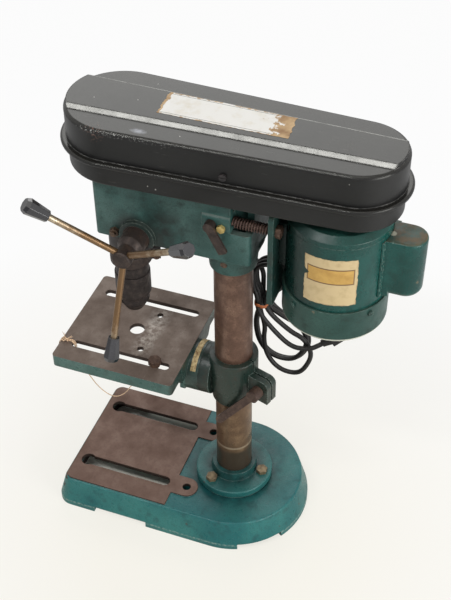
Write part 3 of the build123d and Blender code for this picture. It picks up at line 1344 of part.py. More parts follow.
with BuildPart() as lid_hinge:
    for y in HINGE_YS:
        for side in (-1, 1):
            with BuildSketch(wall_plane(-1, y).offset(side * lid_leaf_offset)):
                Polygon(
                    (0, HINGE_Z + 12),
                    (HINGE_OUT - 1.5, HINGE_Z + 12),
                    (HINGE_OUT - 1.5, HINGE_Z),
                    (HINGE_OUT + 1.5, HINGE_Z),
                    (HINGE_OUT + 1.5, HINGE_Z + 14.5),
                    (2, HINGE_Z + 14.5),
                    (2, HINGE_Z + 30),
                    (0, HINGE_Z + 30),
                    align=None,
                )
                with Locations((HINGE_OUT, HINGE_Z)):
                    Circle(KNUCKLE_RADIUS)
                    Circle(HINGE_PIN_RADIUS + RUN_GAP, mode=Mode.SUBTRACT)
            extrude(amount=LID_KNUCKLE / 2, both=True)
keep(lid_hinge, "lid_hinge")

# Drive: the sleeve turns in two bearings in the head and carries the spindle pulley
drive_top = PULLEY_BOTTOM_Z + len(SPINDLE_STEPS) * STEP_HEIGHT
with BuildPart() as drive_bearings:
    for number in range(2):
        bottom = DRIVE_SLEEVE_BOTTOM_Z + number * (DRIVE_BEARING[2] + FACE_GAP)
        ring(spindle_plane(bottom), DRIVE_BEARING[0], DRIVE_BEARING[1], DRIVE_BEARING[2])
keep(drive_bearings, "drive_bearings")

with BuildPart() as drive_sleeve:
    ring(
        spindle_plane(DRIVE_SLEEVE_BOTTOM_Z),
        SLEEVE_BORE,
        SLEEVE_RADIUS - RUN_GAP,
        drive_top - DRIVE_SLEEVE_BOTTOM_Z,
    )
keep(drive_sleeve, "drive_sleeve")


def step_pulley(steps, bore, section, axis):
    """Cone pulley with one V groove on each step."""
    profile = [(bore, PULLEY_BOTTOM_Z)]
    for number, radius in enumerate(steps):
        bottom = PULLEY_BOTTOM_Z + number * STEP_HEIGHT
        middle = bottom + STEP_HEIGHT / 2
        profile += [
            (radius, bottom),
            (radius, middle - GROOVE_HALF_MOUTH),
            (radius - GROOVE_DEPTH, middle - GROOVE_HALF_ROOT),
            (radius - GROOVE_DEPTH, middle + GROOVE_HALF_ROOT),
            (radius, middle + GROOVE_HALF_MOUTH),
            (radius, bottom + STEP_HEIGHT),
        ]
    profile.append((bore, drive_top))
    turned(profile, section, axis)


motor_section = upright(MOTOR_Y)
motor_axis = upright_axis(MOTOR_Y)
with BuildPart() as spindle_pulley:
    step_pulley(SPINDLE_STEPS, SLEEVE_RADIUS, spindle_section, spindle_axis)
keep(spindle_pulley, "spindle_pulley")

with BuildPart() as motor_pulley:
    step_pulley(MOTOR_STEPS, SHAFT_RADIUS, motor_section, motor_axis)
keep(motor_pulley, "motor_pulley")

# V-belt on the second step: arcs round the pulleys and straight runs between them
belt_z = PULLEY_BOTTOM_Z + (BELT_STEP + 0.5) * STEP_HEIGHT
belt_front = SPINDLE_STEPS[BELT_STEP] - BELT_SINK
belt_rear = MOTOR_STEPS[BELT_STEP] - BELT_SINK
belt_tilt = math.asin((belt_front - belt_rear) / (MOTOR_Y - SPINDLE_Y))
belt_angle = math.degrees(belt_tilt)

with BuildPart() as v_belt:
    with BuildLine() as belt_line:
        front_arc = CenterArc((0, SPINDLE_Y, belt_z), belt_front, 180 - belt_angle, 180 + 2 * belt_angle)
        rear_arc = CenterArc((0, MOTOR_Y, belt_z), belt_rear, belt_angle, 180 - 2 * belt_angle)
        Line(front_arc @ 1, rear_arc @ 0)
        Line(rear_arc @ 1, front_arc @ 0)
    with BuildSketch(Plane(origin=front_arc @ 0.5, x_dir=(0, -1, 0), z_dir=(1, 0, 0))):
        Polygon(
            (-BELT_HALF_DEPTH, -BELT_HALF_ROOT),
            (BELT_HALF_DEPTH, -BELT_HALF_TOP),
            (BELT_HALF_DEPTH, BELT_HALF_TOP),
            (-BELT_HALF_DEPTH, BELT_HALF_ROOT),
            align=None,
        )
    sweep()
print("belt length", round(belt_line.wire().length, 1), "volume", round(v_belt.part.volume))
keep(v_belt, "v_belt")

# Motor slide: plate, rods, their nuts, the foot bolts and the spring on the near rod
plate_rear = PLATE_FRONT_Y + PLATE_THICK
plate_plane = Plane(origin=(0, PLATE_FRONT_Y, 0), x_dir=(-1, 0, 0), z_dir=(0, 1, 0))
foot_bolt_spots = [(x, z) for x in (-FOOT_BOLT_X, FOOT_BOLT_X) for z in FOOT_BOLT_ZS]
foot_bolt_reach = 7
with BuildPart() as motor_plate:
    with BuildSketch(plate_plane):
        with Locations((0, (PLATE_BOTTOM_Z + PLATE_TOP_Z) / 2)):
            RectangleRounded(2 * PLATE_HALF_WIDTH, PLATE_TOP_Z - PLATE_BOTTOM_Z, 6)
        with Locations((-ROD_X, ROD_Z), (ROD_X, ROD_Z)):
            Circle(ROD_RADIUS + SEAT_GAP, mode=Mode.SUBTRACT)
        with Locations(*foot_bolt_spots):
            Circle(FOOT_BOLT_RADIUS + SEAT_GAP, mode=Mode.SUBTRACT)
    extrude(amount=PLATE_THICK)
keep(motor_plate, "motor_plate")

rod_end = plate_rear + 7
with BuildPart() as slide_rods:
    for side in (-1, 1):
        rod_plane = Plane(origin=(side * ROD_X, ROD_FRONT_Y, ROD_Z), z_dir=(0, 1, 0))
        bar(rod_plane, ROD_RADIUS, rod_end - ROD_FRONT_Y)
keep(slide_rods, "slide_rods")

with BuildPart() as plate_fasteners:
    with BuildSketch(plate_plane.offset(PLATE_THICK)):
        with Locations((-ROD_X, ROD_Z), (ROD_X, ROD_Z)):
            RegularPolygon(6.5, 6, major_radius=False)
            Circle(ROD_RADIUS + SEAT_GAP, mode=Mode.SUBTRACT)
    extrude(amount=6)
    for x, z in foot_bolt_spots:
        bolt_plane = Plane(origin=(x, PLATE_FRONT_Y, z), z_dir=(0, -1, 0))
        hex_bolt(bolt_plane, 10, 4, FOOT_BOLT_RADIUS, PLATE_THICK + foot_bolt_reach - 0.5)
keep(plate_fasteners, "plate_fasteners")

spring_front = RECESS_FRONT_Y
spring_length = PLATE_FRONT_Y - spring_front
coil_length = spring_length - 2 * SPRING_WIRE - 2 * SPRING_LEAD
coil_pitch = coil_length / (SPRING_TURNS - 0.25)
coil_rise = coil_pitch / (2 * math.pi)


def coil_spot(turn, y):
    """Point on the middle line of the spring's wire at an angle round the rod."""
    return Vector(ROD_X + SPRING_RADIUS * math.cos(turn), y, ROD_Z + SPRING_RADIUS * math.sin(turn))


# The wire leaves each face straight, and the first and last eighth of a turn lead into the coil
end_turn = math.pi / 4
last_turn = 2 * math.pi * SPRING_TURNS
coil_turns = [end_turn]
coil_turns += [math.pi * half for half in range(1, 2 * SPRING_TURNS)]
coil_turns.append(last_turn - end_turn)
spring_rear = spring_front + spring_length
coil_stations = [
    (coil_spot(0, spring_front), REARWARD),
    (coil_spot(0, spring_front + SPRING_WIRE), REARWARD),
]
for turn in coil_turns:
    heading = Vector(-SPRING_RADIUS * math.sin(turn), coil_rise, SPRING_RADIUS * math.cos(turn))
    climb = coil_rise * (turn - end_turn)
    spot = coil_spot(turn, spring_front + SPRING_WIRE + SPRING_LEAD + climb)
    coil_stations.append((spot, heading.normalized()))
coil_stations += [
    (coil_spot(last_turn, spring_rear - SPRING_WIRE), REARWARD),
    (coil_spot(last_turn, spring_rear), REARWARD),
]
first_spot, first_heading = coil_stations[0]
with BuildPart() as tension_spring:
    with BuildLine() as spring_line:
        biarcs(coil_stations)
    with BuildSketch(Plane(origin=first_spot, z_dir=first_heading)):
        Circle(SPRING_WIRE / 2)
    sweep()
spring_gap = least_gap(spring_line.wire(), SPRING_WIRE, 1, 12)
spring_bend = min(edge.radius for edge in spring_line.edges().filter_by(GeomType.CIRCLE))
print("spring gap", round(spring_gap, 2), "tightest bend", round(spring_bend, 2))
keep(tension_spring, "tension_spring")

# Motor: rolled shell with a foot, two end bells, stator, rotor on its shaft and two bearings
motor_plane = Plane(origin=(0, MOTOR_Y, MOTOR_BOTTOM_Z))
motor_height = MOTOR_TOP_Z - MOTOR_BOTTOM_Z
with BuildPart() as motor_frame:
    bar(motor_plane, MOTOR_RADIUS, motor_height)
    with BuildSketch(Plane.XY.offset(FOOT_BOTTOM_Z)):
        with Locations((0, plate_rear)):
            Rectangle(2 * FOOT_HALF_WIDTH, MOTOR_Y - plate_rear, align=(Align.CENTER, Align.MIN))
    extrude(amount=FOOT_TOP_Z - FOOT_BOTTOM_Z)
    drill(motor_plane, MOTOR_RADIUS - MOTOR_SHELL, motor_height)
    with BuildSketch(plate_plane.offset(PLATE_THICK)):
        with Locations(*foot_bolt_spots):
            Circle(FOOT_BOLT_RADIUS + SEAT_GAP)
    extrude(amount=foot_bolt_reach, mode=Mode.SUBTRACT)
keep(motor_frame, "motor_frame")

bearing_seat = MOTOR_BEARING[1] + SEAT_GAP
bearing_boss = bearing_seat + 4
lower_seat_z = BELL_BOTTOM_Z + BELL_WALL + 3
bell_screw_turns = [math.radians(BELL_SCREW_ANGLE + 90 * number) for number in range(4)]
bell_screw_planes = [
    Plane(
        origin=(BELL_RADIUS * math.cos(turn), MOTOR_Y + BELL_RADIUS * math.sin(turn), BELL_SCREW_Z),
        z_dir=(math.cos(turn), math.sin(turn), 0),
    )
    for turn in bell_screw_turns
]
with BuildPart() as motor_lower_bell:
    turned(
        [
            (0, BELL_BOTTOM_Z),
            (BELL_RADIUS, BELL_BOTTOM_Z),
            (BELL_RADIUS, MOTOR_BOTTOM_Z),
            (BELL_RADIUS - BELL_WALL, MOTOR_BOTTOM_Z),
            (BELL_RADIUS - BELL_WALL, BELL_BOTTOM_Z + BELL_ROUND),
            (BELL_RADIUS - 2 * BELL_WALL, BELL_BOTTOM_Z + BELL_WALL + 1),
            (bearing_boss, BELL_BOTTOM_Z + BELL_WALL + 1),
            (bearing_boss, lower_seat_z + MOTOR_BEARING[2]),
            (bearing_seat, lower_seat_z + MOTOR_BEARING[2]),
            (bearing_seat, lower_seat_z),
            (0, lower_seat_z),
        ],
        motor_section,
        motor_axis,
    )
    fillet(edges().group_by(Axis.Z)[0], BELL_ROUND - 1)
    for plane in bell_screw_planes:
        drill(plane, BELL_SCREW_RADIUS / 2 + SEAT_GAP, -2 * BELL_WALL)
keep(motor_lower_bell, "motor_lower_bell")

top_bell_top = MOTOR_TOP_Z + TOP_BELL_HEIGHT
upper_seat_z = MOTOR_TOP_Z - 4
shaft_clearance = SHAFT_RADIUS + 3
with BuildPart() as motor_top_bell:
    turned(
        [
            (shaft_clearance, top_bell_top),
            (MOTOR_RADIUS - 7, top_bell_top),
            (MOTOR_RADIUS, MOTOR_TOP_Z + 6),
            (MOTOR_RADIUS, MOTOR_TOP_Z),
            (MOTOR_RADIUS - BELL_WALL, MOTOR_TOP_Z),
            (MOTOR_RADIUS - 2 * BELL_WALL, top_bell_top - BELL_WALL),
            (bearing_boss, top_bell_top - BELL_WALL),
            (bearing_boss, upper_seat_z),
            (bearing_seat, upper_seat_z),
            (bearing_seat, upper_seat_z + MOTOR_BEARING[2]),
            (shaft_clearance, upper_seat_z + MOTOR_BEARING[2]),
        ],
        motor_section,
        motor_axis,
    )
keep(motor_top_bell, "motor_top_bell")

with BuildPart() as bell_screws:
    for plane in bell_screw_planes:
        slotted_screw(plane, BELL_SCREW_RADIUS, 2.2, BELL_SCREW_RADIUS / 2, 6)
keep(bell_screws, "bell_screws")

core_plane = Plane(origin=(0, MOTOR_Y, CORE_BOTTOM_Z))
with BuildPart() as stator:
    ring(core_plane, STATOR_BORE, MOTOR_RADIUS - MOTOR_SHELL - SEAT_GAP, CORE_TOP_Z - CORE_BOTTOM_Z)
keep(stator, "stator")

with BuildPart() as motor_bearings:
    for bottom in (lower_seat_z, upper_seat_z):
        ring(Plane(origin=(0, MOTOR_Y, bottom)), MOTOR_BEARING[0], MOTOR_BEARING[1], MOTOR_BEARING[2])
keep(motor_bearings, "motor_bearings")

with BuildPart() as rotor:
    bar(core_plane, ROTOR_RADIUS, CORE_TOP_Z - CORE_BOTTOM_Z)
    shaft_bottom = lower_seat_z + FACE_GAP
    bar(Plane(origin=(0, MOTOR_Y, shaft_bottom)), SHAFT_RADIUS - RUN_GAP, drive_top - shaft_bottom)
keep(rotor, "rotor")

cover_centre_y = COVER_END_Y - COVER_HALF_WIDTH
with BuildPart() as capacitor_cover:
    with BuildSketch(Plane.XY.offset(COVER_BOTTOM_Z)):
        with Locations((0, cover_centre_y)):
            Circle(COVER_HALF_WIDTH)
            Rectangle(2 * COVER_HALF_WIDTH, cover_centre_y - MOTOR_Y, align=(Align.CENTER, Align.MAX))
    extrude(amount=COVER_TOP_Z - COVER_BOTTOM_Z)
    fillet(edges().group_by(Axis.Z)[0].sort_by(Axis.Y)[1:], COVER_CORNER)
    fillet(edges().group_by(Axis.Z)[-1].sort_by(Axis.Y)[1:], 3)
    with BuildSketch(Plane.XY.offset(COVER_BOTTOM_Z)):
        with Locations((0, MOTOR_Y + MOTOR_RADIUS)):
            Rectangle(2 * COVER_HALF_WIDTH + 2 * COVER_FLANGE, 2 * COVER_FLANGE)
    extrude(amount=COVER_TOP_Z - COVER_BOTTOM_Z)
    flange_face = Plane(origin=(0, MOTOR_Y + MOTOR_RADIUS - COVER_FLANGE / 2, COVER_BOTTOM_Z))
    for side in (-1, 1):
        with BuildSketch(flange_face):
            with Locations((side * (COVER_HALF_WIDTH + COVER_FLANGE), 0)):
                Rectangle(2 * COVER_FLANGE, 40, align=(Align.CENTER, Align.MIN))
        extrude(amount=COVER_TOP_Z - COVER_BOTTOM_Z, mode=Mode.SUBTRACT)
    drill(motor_plane, MOTOR_RADIUS + SEAT_GAP, 2 * motor_height)
keep(capacitor_cover, "capacitor_cover")

# Switch box on the left of the head with its rocker and the gland of the mains lead
box_face = -HEAD_HALF_WIDTH - SWITCH_DEPTH
box_middle_z = SWITCH_BOTTOM_Z + SWITCH_HEIGHT / 2
rocker_x = box_face + ROCKER_PIVOT
rocker_plane = Plane(origin=(rocker_x, SWITCH_Y, box_middle_z), x_dir=(1, 0, 0), z_dir=(0, -1, 0))
pivot_radius = 1.5
with BuildPart() as switch_box:
    box_middle = (-HEAD_HALF_WIDTH, SWITCH_Y, box_middle_z)
    with BuildSketch(Plane(origin=box_middle, x_dir=(0, 1, 0), z_dir=(-1, 0, 0))):
        RectangleRounded(SWITCH_WIDTH, SWITCH_HEIGHT, 4)
    extrude(amount=SWITCH_DEPTH)
    fillet(faces().sort_by(Axis.X)[0].edges(), 2)
    with BuildSketch(rocker_plane):
        with Locations((ROCKER_RADIUS / 2 - 2, 0)):
            Rectangle(ROCKER_RADIUS + 10, 2 * ROCKER_RADIUS + 2 * FACE_GAP)
    extrude(amount=ROCKER_WIDTH / 2 + FACE_GAP, both=True, mode=Mode.SUBTRACT)
    with BuildSketch(rocker_plane):
        Circle(pivot_radius + RUN_GAP)
    extrude(amount=ROCKER_WIDTH / 2 + 3, both=True, mode=Mode.SUBTRACT)
keep(switch_box, "switch_box")

with BuildPart() as switch_rocker:
    with BuildSketch(rocker_plane):
        Circle(ROCKER_RADIUS)
        Polygon(
            (-ROCKER_PIVOT - ROCKER_PROUD + 1.5, 0),
            (-ROCKER_PIVOT - ROCKER_PROUD, ROCKER_RADIUS),
            (-ROCKER_PIVOT - 2 * ROCKER_PROUD, ROCKER_RADIUS),
            (-ROCKER_PIVOT - 2 * ROCKER_PROUD, -ROCKER_RADIUS),
            (-ROCKER_PIVOT - ROCKER_PROUD + 1, -ROCKER_RADIUS),
            align=None,
            mode=Mode.SUBTRACT,
        )
    extrude(amount=ROCKER_WIDTH / 2, both=True)
    with BuildSketch(rocker_plane):
        Circle(pivot_radius)
    extrude(amount=ROCKER_WIDTH / 2 + 2.5, both=True)
keep(switch_rocker, "switch_rocker")

gland_x = -HEAD_HALF_WIDTH - SWITCH_DEPTH / 2
gland_tip = SWITCH_BOTTOM_Z - GLAND_LENGTH
with BuildPart() as cord_gland:
    gland_section = Plane(origin=(gland_x, GLAND_Y, 0), x_dir=(1, 0, 0), z_dir=(0, -1, 0))
    turned(
        [
            (0, gland_tip),
            (GLAND_RADII[1], gland_tip),
            (GLAND_RADII[0], SWITCH_BOTTOM_Z - 4),
            (GLAND_RADII[0] + 2, SWITCH_BOTTOM_Z - 4),
            (GLAND_RADII[0] + 2, SWITCH_BOTTOM_Z),
            (0, SWITCH_BOTTOM_Z),
        ],
        gland_section,
        Axis((gland_x, GLAND_Y, 0), (0, 0, 1)),
    )
keep(cord_gland, "cord_gland")

# Mains lead: from the gland to the hank, three folded loops tied at the waist, and the tail to the plug
waist_left = HANK_WAIST_Y - HANK_WAIST_STEP
waist_right = HANK_WAIST_Y + HANK_WAIST_STEP
hank_start = Vector(HANK_LAYERS[0], waist_left, HANK_WAIST_Z + 12)
lead_route = [
    (gland_x, GLAND_Y, gland_tip),
    (gland_x, GLAND_Y, gland_tip - 22),
    (gland_x + 2, GLAND_Y + 28, gland_tip - 56),
    (hank_start.X, hank_start.Y, hank_start.Z + 28),
    (hank_start.X, hank_start.Y, hank_start.Z),
]
lead_bends = bend_radii(lead_route)
print("lead bends", [round(radius, 1) for radius in lead_bends])
with BuildPart() as power_lead:
    with BuildLine() as lead_line:
        FilletPolyline(*lead_route, radius=lead_bends)
    with BuildSketch(Plane(origin=lead_route[0], z_dir=(0, 0, -1))):
        Circle(CORD_RADIUS)
    sweep()
print("lead length", round(lead_line.wire().length, 1))
keep(power_lead, "power_lead")

back_slant = Vector(0, -0.78, 0.62).normalized()
hank_stations = [(hank_start, DOWN)]
for layer, x in enumerate(HANK_LAYERS):
    step = HANK_TAIL_X - HANK_LAYERS[-1]
    left = HANK_LEFT_YS[layer]
    right = HANK_RIGHT_YS[layer]
    bottom = HANK_BOTTOMS[layer]
    hank_stations += [
        (Vector(x, waist_left, HANK_WAIST_Z), DOWN),
        (Vector(x, left, bottom + 54), DOWN),
        (Vector(x, (left + right) / 2 + 2, bottom), REARWARD),
        (Vector(x, right, bottom + 43), UP),
        (Vector(x, right - 27, bottom + 67), back_slant),
        (Vector(x, waist_right, HANK_WAIST_Z), UP),
        (Vector(x, HANK_TOP_Y + HANK_TOP_HALF, HANK_TOP_Z - HANK_TOP_HALF - 1), UP),
        (Vector(x, HANK_TOP_Y, HANK_TOP_Z), FORWARD),
        (Vector(x + step / 2, HANK_TOP_Y - HANK_TOP_HALF, HANK_TOP_Z - HANK_TOP_HALF - 1), DOWN),
    ]
plug_way = Vector(-0.45, 0.72, 0.53).normalized()
plug_start = Vector(HANK_TAIL_X - 5.8, 152.8, 289.2)
hank_stations += [
    (Vector(HANK_TAIL_X, waist_left, HANK_WAIST_Z), DOWN),
    (Vector(HANK_TAIL_X, waist_left, HANK_WAIST_Z - 8), DOWN),
    (Vector(HANK_TAIL_X, 98, 292), Vector(0, 0.75, -0.66).normalized()),
    (Vector(HANK_TAIL_X, 122, 278), REARWARD),
    (Vector(HANK_TAIL_X, 137, 280.3), Vector(0, 0.953, 0.301).normalized()),
    (plug_start - plug_way * 2 * CORD_RADIUS, plug_way),
    (plug_start, plug_way),
]
with BuildPart() as cord_hank:
    with BuildLine() as hank_line:
        biarcs(hank_stations)
    with BuildSketch(Plane(origin=hank_start, z_dir=DOWN)):
        Circle(CORD_RADIUS)
    sweep()
hank_wire = hank_line.wire()
hank_gap = least_gap(hank_wire, 2 * CORD_RADIUS, 4, 30)
print("hank length", round(hank_wire.length, 1), "gap", round(hank_gap, 2))
tight = min(edge.radius for edge in hank_line.edges().filter_by(GeomType.CIRCLE))
print("tightest hank bend", round(tight, 1))
keep(cord_hank, "cord_hank")

with BuildPart() as cord_tie:
    tie_x = (HANK_LAYERS[0] + HANK_TAIL_X) / 2
    tie_width = HANK_TAIL_X - HANK_LAYERS[0] + 2 * CORD_RADIUS + 2 * TIE_GAP
    tie_depth = 2 * HANK_WAIST_STEP + 2 * CORD_RADIUS + 2 * TIE_GAP
    with BuildSketch(Plane(origin=(tie_x, HANK_WAIST_Y, HANK_WAIST_Z - TIE_HEIGHT / 2))):
        RectangleRounded(tie_width + 2 * TIE_THICK, tie_depth + 2 * TIE_THICK, CORD_RADIUS + TIE_THICK)
        RectangleRounded(tie_width, tie_depth, CORD_RADIUS, mode=Mode.SUBTRACT)
    extrude(amount=TIE_HEIGHT)
keep(cord_tie, "cord_tie")

with BuildPart() as mains_plug:
    plug_plane = Plane(origin=plug_start, x_dir=(1, 0, 0), z_dir=plug_way)
    with BuildSketch(plug_plane):
        Circle(CORD_RADIUS + 1.5)
    with BuildSketch(plug_plane.offset(PLUG_LENGTH * 0.35)):
        RectangleRounded(PLUG_SIZE[0] * 0.7, PLUG_SIZE[1] * 0.8, 4)
    loft()
    with BuildSketch(plug_plane.offset(PLUG_LENGTH * 0.35)):
        RectangleRounded(PLUG_SIZE[0], PLUG_SIZE[1], 4)
    extrude(amount=PLUG_LENGTH * 0.65)
    with BuildSketch(plug_plane.offset(PLUG_LENGTH)):
        with Locations((-6.35, 2), (6.35, 2)):
            Rectangle(1.5, 6.4)
        with Locations((0, -3.5)):
            Circle(2.4)
    extrude(amount=17)
keep(mains_plug, "mains_plug")
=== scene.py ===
# %% [markdown]
# # A bench drill press, dressed in Blender
# The solids of this machine come from its CAD model, already at their real size and place.
# This lesson adds what a solid lacks: paint, rust, dust, cords, belt, spring and paper labels.
# Every new piece is made in the same frame as the solids, so nothing has to be fitted by eye.

# %% Load the solids
import math
import bmesh
import bpy
from mathutils import Matrix, Vector, noise


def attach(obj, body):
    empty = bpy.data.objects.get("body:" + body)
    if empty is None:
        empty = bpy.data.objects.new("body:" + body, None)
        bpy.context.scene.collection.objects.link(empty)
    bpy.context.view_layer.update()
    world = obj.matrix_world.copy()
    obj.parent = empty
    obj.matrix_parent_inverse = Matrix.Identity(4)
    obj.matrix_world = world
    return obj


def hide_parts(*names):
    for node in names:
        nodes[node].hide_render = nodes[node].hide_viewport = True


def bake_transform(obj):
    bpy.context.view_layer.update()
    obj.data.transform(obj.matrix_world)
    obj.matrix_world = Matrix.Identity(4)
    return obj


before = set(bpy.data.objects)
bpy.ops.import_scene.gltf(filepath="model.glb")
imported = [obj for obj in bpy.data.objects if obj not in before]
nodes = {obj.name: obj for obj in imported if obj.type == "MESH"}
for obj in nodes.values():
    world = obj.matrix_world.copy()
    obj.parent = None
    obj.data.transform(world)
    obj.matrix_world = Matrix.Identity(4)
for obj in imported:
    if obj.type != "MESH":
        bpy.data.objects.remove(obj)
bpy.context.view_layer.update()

scene = bpy.context.scene

# %% [markdown]
# ## Camera
# The photograph looks down on the feed side of the machine from about a metre and a half away.
# A camera can be aimed with a Track To constraint, but then its roll is lost. Here its three
# axes are written out instead, as they were solved from edges that show in the photograph.

# %% Camera
CAMERA_PLACE = Vector((0.9617, 0.3996, 1.2788))
CAMERA_BACK = Vector((0.6936, 0.2601, 0.6718)).normalized()
CAMERA_ALONG = Vector((-0.3443, 0.9388, -0.0080))
SENSOR = 36
FOCAL_PIXELS = 1177.3
PHOTO_HEIGHT = 600

camera_right = (CAMERA_ALONG - CAMERA_BACK * CAMERA_ALONG.dot(CAMERA_BACK)).normalized()
camera_up = CAMERA_BACK.cross(camera_right)
camera_data = bpy.data.cameras.new("camera")
camera_data.sensor_width = SENSOR
camera_data.lens = SENSOR * FOCAL_PIXELS / PHOTO_HEIGHT
camera = bpy.data.objects.new("camera", camera_data)
turn = Matrix((camera_right, camera_up, CAMERA_BACK)).transposed().to_4x4()
camera.matrix_world = Matrix.Translation(CAMERA_PLACE) @ turn
scene.collection.objects.link(camera)
scene.camera = camera
scene.view_settings.view_transform = "Standard"
print("lens", round(camera_data.lens, 1), "mm")

# %% [markdown]
# ## Recipes for shader nodes
# A material is a small program made of nodes. They could be added and wired one call at a time, but then
# the wiring soon hides the idea. A recipe holds one node tree and has a short word for each node that is
# used often, which adds the node and wires it in the same line. Colours are picked in the usual 0 to 255
# steps and turned into the linear values that Blender computes with.

# %% Recipes


def tone(red, green, blue):
    """Linear colour of a screen tone."""
    steps = [value / 255 for value in (red, green, blue)]
    return (*[((v + 0.055) / 1.055) ** 2.4 if v > 0.04 else v / 12.92 for v in steps], 1)


class Recipe:
    """A node tree, and the place on the piece that its textures and masks read."""

    def __init__(self, tree, where=None):
        self.tree = tree
        self.where = where

    def at(self, where):
        """The same tree, reading another place."""
        return Recipe(self.tree, where)

    def feed(self, sockets, values):
        """Link or set some sockets."""
        for name, value in values.items():
            if isinstance(value, bpy.types.NodeSocket):
                self.tree.links.new(value, sockets[name])
            else:
                sockets[name].default_value = value

    def add(self, kind, values=None, **settings):
        """New node, with its settings and inputs."""
        node = self.tree.nodes.new(kind)
        for name, value in settings.items():
            setattr(node, name, value)
        self.feed(node.inputs, values or {})
        return node

    def group(self, name, **values):
        """Shared effect placed here. Its sockets are set by name, with _ for a blank."""
        named = {key.replace("_", " "): value for key, value in values.items()}
        named["Where"] = self.where
        return self.add("ShaderNodeGroup", named, node_tree=bpy.data.node_groups[name]).outputs

    def mix(self, share, first, second):
        """Colour between two colours."""
        return self.add("ShaderNodeMix", {0: share, 6: first, 7: second}, data_type="RGBA").outputs[2]

    def between(self, share, first, second):
        """Number between two numbers."""
        return self.add("ShaderNodeMix", {0: share, 2: first, 3: second}).outputs[0]

    def fade(self, value, low, high, start=0.0, end=1.0):
        """Ramp from start to end while the value goes from low to high."""
        values = {"Value": value, "From Min": low, "From Max": high, "To Min": start, "To Max": end}
        return self.add("ShaderNodeMapRange", values).outputs["Result"]

    def spread(self, cloud, start, end):
        """Ramp from start to end over the usual range of a noise."""
        return self.fade(cloud, 0.3, 0.7, start, end)

    def maths(self, operation, first, second=0.0):
        return self.add("ShaderNodeMath", {0: first, 1: second}, operation=operation).outputs[0]

    def plus(self, first, second):
        return self.maths("ADD", first, second)

    def minus(self, first, second):
        return self.maths("SUBTRACT", first, second)

    def larger(self, first, second):
        return self.maths("MAXIMUM", first, second)

    def times(self, *values):
        """Product of several masks."""
        result = values[0]
        for value in values[1:]:
            result = self.maths("MULTIPLY", result, value)
        return result

    def vector(self, operation, first, second):
        """Vector, or a number where the operation gives one."""
        outputs = self.add("ShaderNodeVectorMath", {0: first, 1: second}, operation=operation).outputs
        return outputs["Value" if operation in ("DISTANCE", "DOT_PRODUCT") else "Vector"]

    def axis(self, name):
        """One coordinate of the place."""
        return self.add("ShaderNodeSeparateXYZ", {0: self.where}).outputs[name]

    def cloud(self, scale, detail=3.0, roughness=0.55):
        """Noise between 0 and 1. The scale counts features per metre."""
        values = {"Vector": self.where, "Scale": scale, "Detail": detail, "Roughness": roughness}
        return self.add("ShaderNodeTexNoise", values).outputs["Fac"]


print("recipes ready")

# %% [markdown]
# ## Masks
# A mask says where a colour shows: above a height, about a point, in a box, or on what faces up. It could
# be painted by hand on an unwrapped mesh. These are computed instead, from Object coordinates, which stay
# with a piece when its joint moves.

# %% Masks


def above(look, height, band=0.0003):
    """What lies above a height."""
    return look.fade(look.axis("Z"), height - band, height + band)


def spot(look, centre, radius, soft=0.4):
    """What lies near a point, in metres."""
    return look.fade(look.vector("DISTANCE", look.where, centre), radius, radius * (1 - soft))


def inside_box(look, low, high):
    """What lies in a box, in metres."""
    masks = []
    for name, start, end in zip("XYZ", low, high):
        along = look.axis(name)
        masks.append(look.maths("GREATER_THAN", along, start))
        masks.append(look.maths("LESS_THAN", along, end))
    return look.times(*masks)


def facing_up(look, low=0.7, high=0.9):
    """What faces up in the piece's own frame."""
    normal = look.add("ShaderNodeNewGeometry").outputs["Normal"]
    change = {"vector_type": "NORMAL", "convert_from": "WORLD", "convert_to": "OBJECT"}
    own_normal = look.add("ShaderNodeVectorTransform", {0: normal}, **change).outputs[0]
    return look.fade(look.at(own_normal).axis("Z"), low, high)


def patchy(look, scale, least):
    """Soft patches that never fade below the least share."""
    return look.spread(look.cloud(scale, 4), least, 1.0)


print("masks ready")

# %% [markdown]
# ## Shared effects
# Rust, dust, worn edges, grain and paint texture turn up on many pieces. They could be copied into each
# material, but then a change has to be made many times. So each is built once as a node group that puts
# out colours, masks and heights, and every material sets its own amounts.

# %% Start of a group
SOCKET_KINDS = {1: "Float", 3: "Vector", 4: "Color"}


def start_group(name, inputs, outputs):
    """Recipe of a new node group. The kind of an input follows from its usual value."""
    tree = bpy.data.node_groups.new(name, "ShaderNodeTree")
    tree.interface.new_socket("Where", in_out="INPUT", socket_type="NodeSocketVector")
    for label, value in inputs.items():
        kind = SOCKET_KINDS[len(value) if isinstance(value, tuple) else 1]
        socket = tree.interface.new_socket(label, in_out="INPUT", socket_type="NodeSocket" + kind)
        socket.default_value = value
    for label, kind in outputs.items():
        tree.interface.new_socket(label, in_out="OUTPUT", socket_type="NodeSocket" + kind)
    group = Recipe(tree)
    given = group.add("NodeGroupInput").outputs
    group.where = given["Where"]
    print("group", name)
    return group, given, group.add("NodeGroupOutput").inputs


print("kinds of socket", *SOCKET_KINDS.values())

# %% Worn edges
# The Bevel node rounds the shading normal near an edge. Where the two normals differ, there is an edge.
inputs = {"Radius": 0.0015, "Breakup": 260.0, "Amount": 1.0}
group, given, result = start_group("worn_edges", inputs, {"Mask": "Float", "Normal": "Vector"})
soft_normal = group.add("ShaderNodeBevel", {"Radius": given["Radius"]}, samples=6).outputs[0]
true_normal = group.add("ShaderNodeNewGeometry").outputs["Normal"]
edge = group.fade(group.vector("DOT_PRODUCT", soft_normal, true_normal), 0.99, 0.86)
broken = group.fade(group.cloud(given["Breakup"], 4), 0.42, 0.6)
group.feed(result, {"Mask": group.times(edge, broken, given["Amount"]), "Normal": soft_normal})

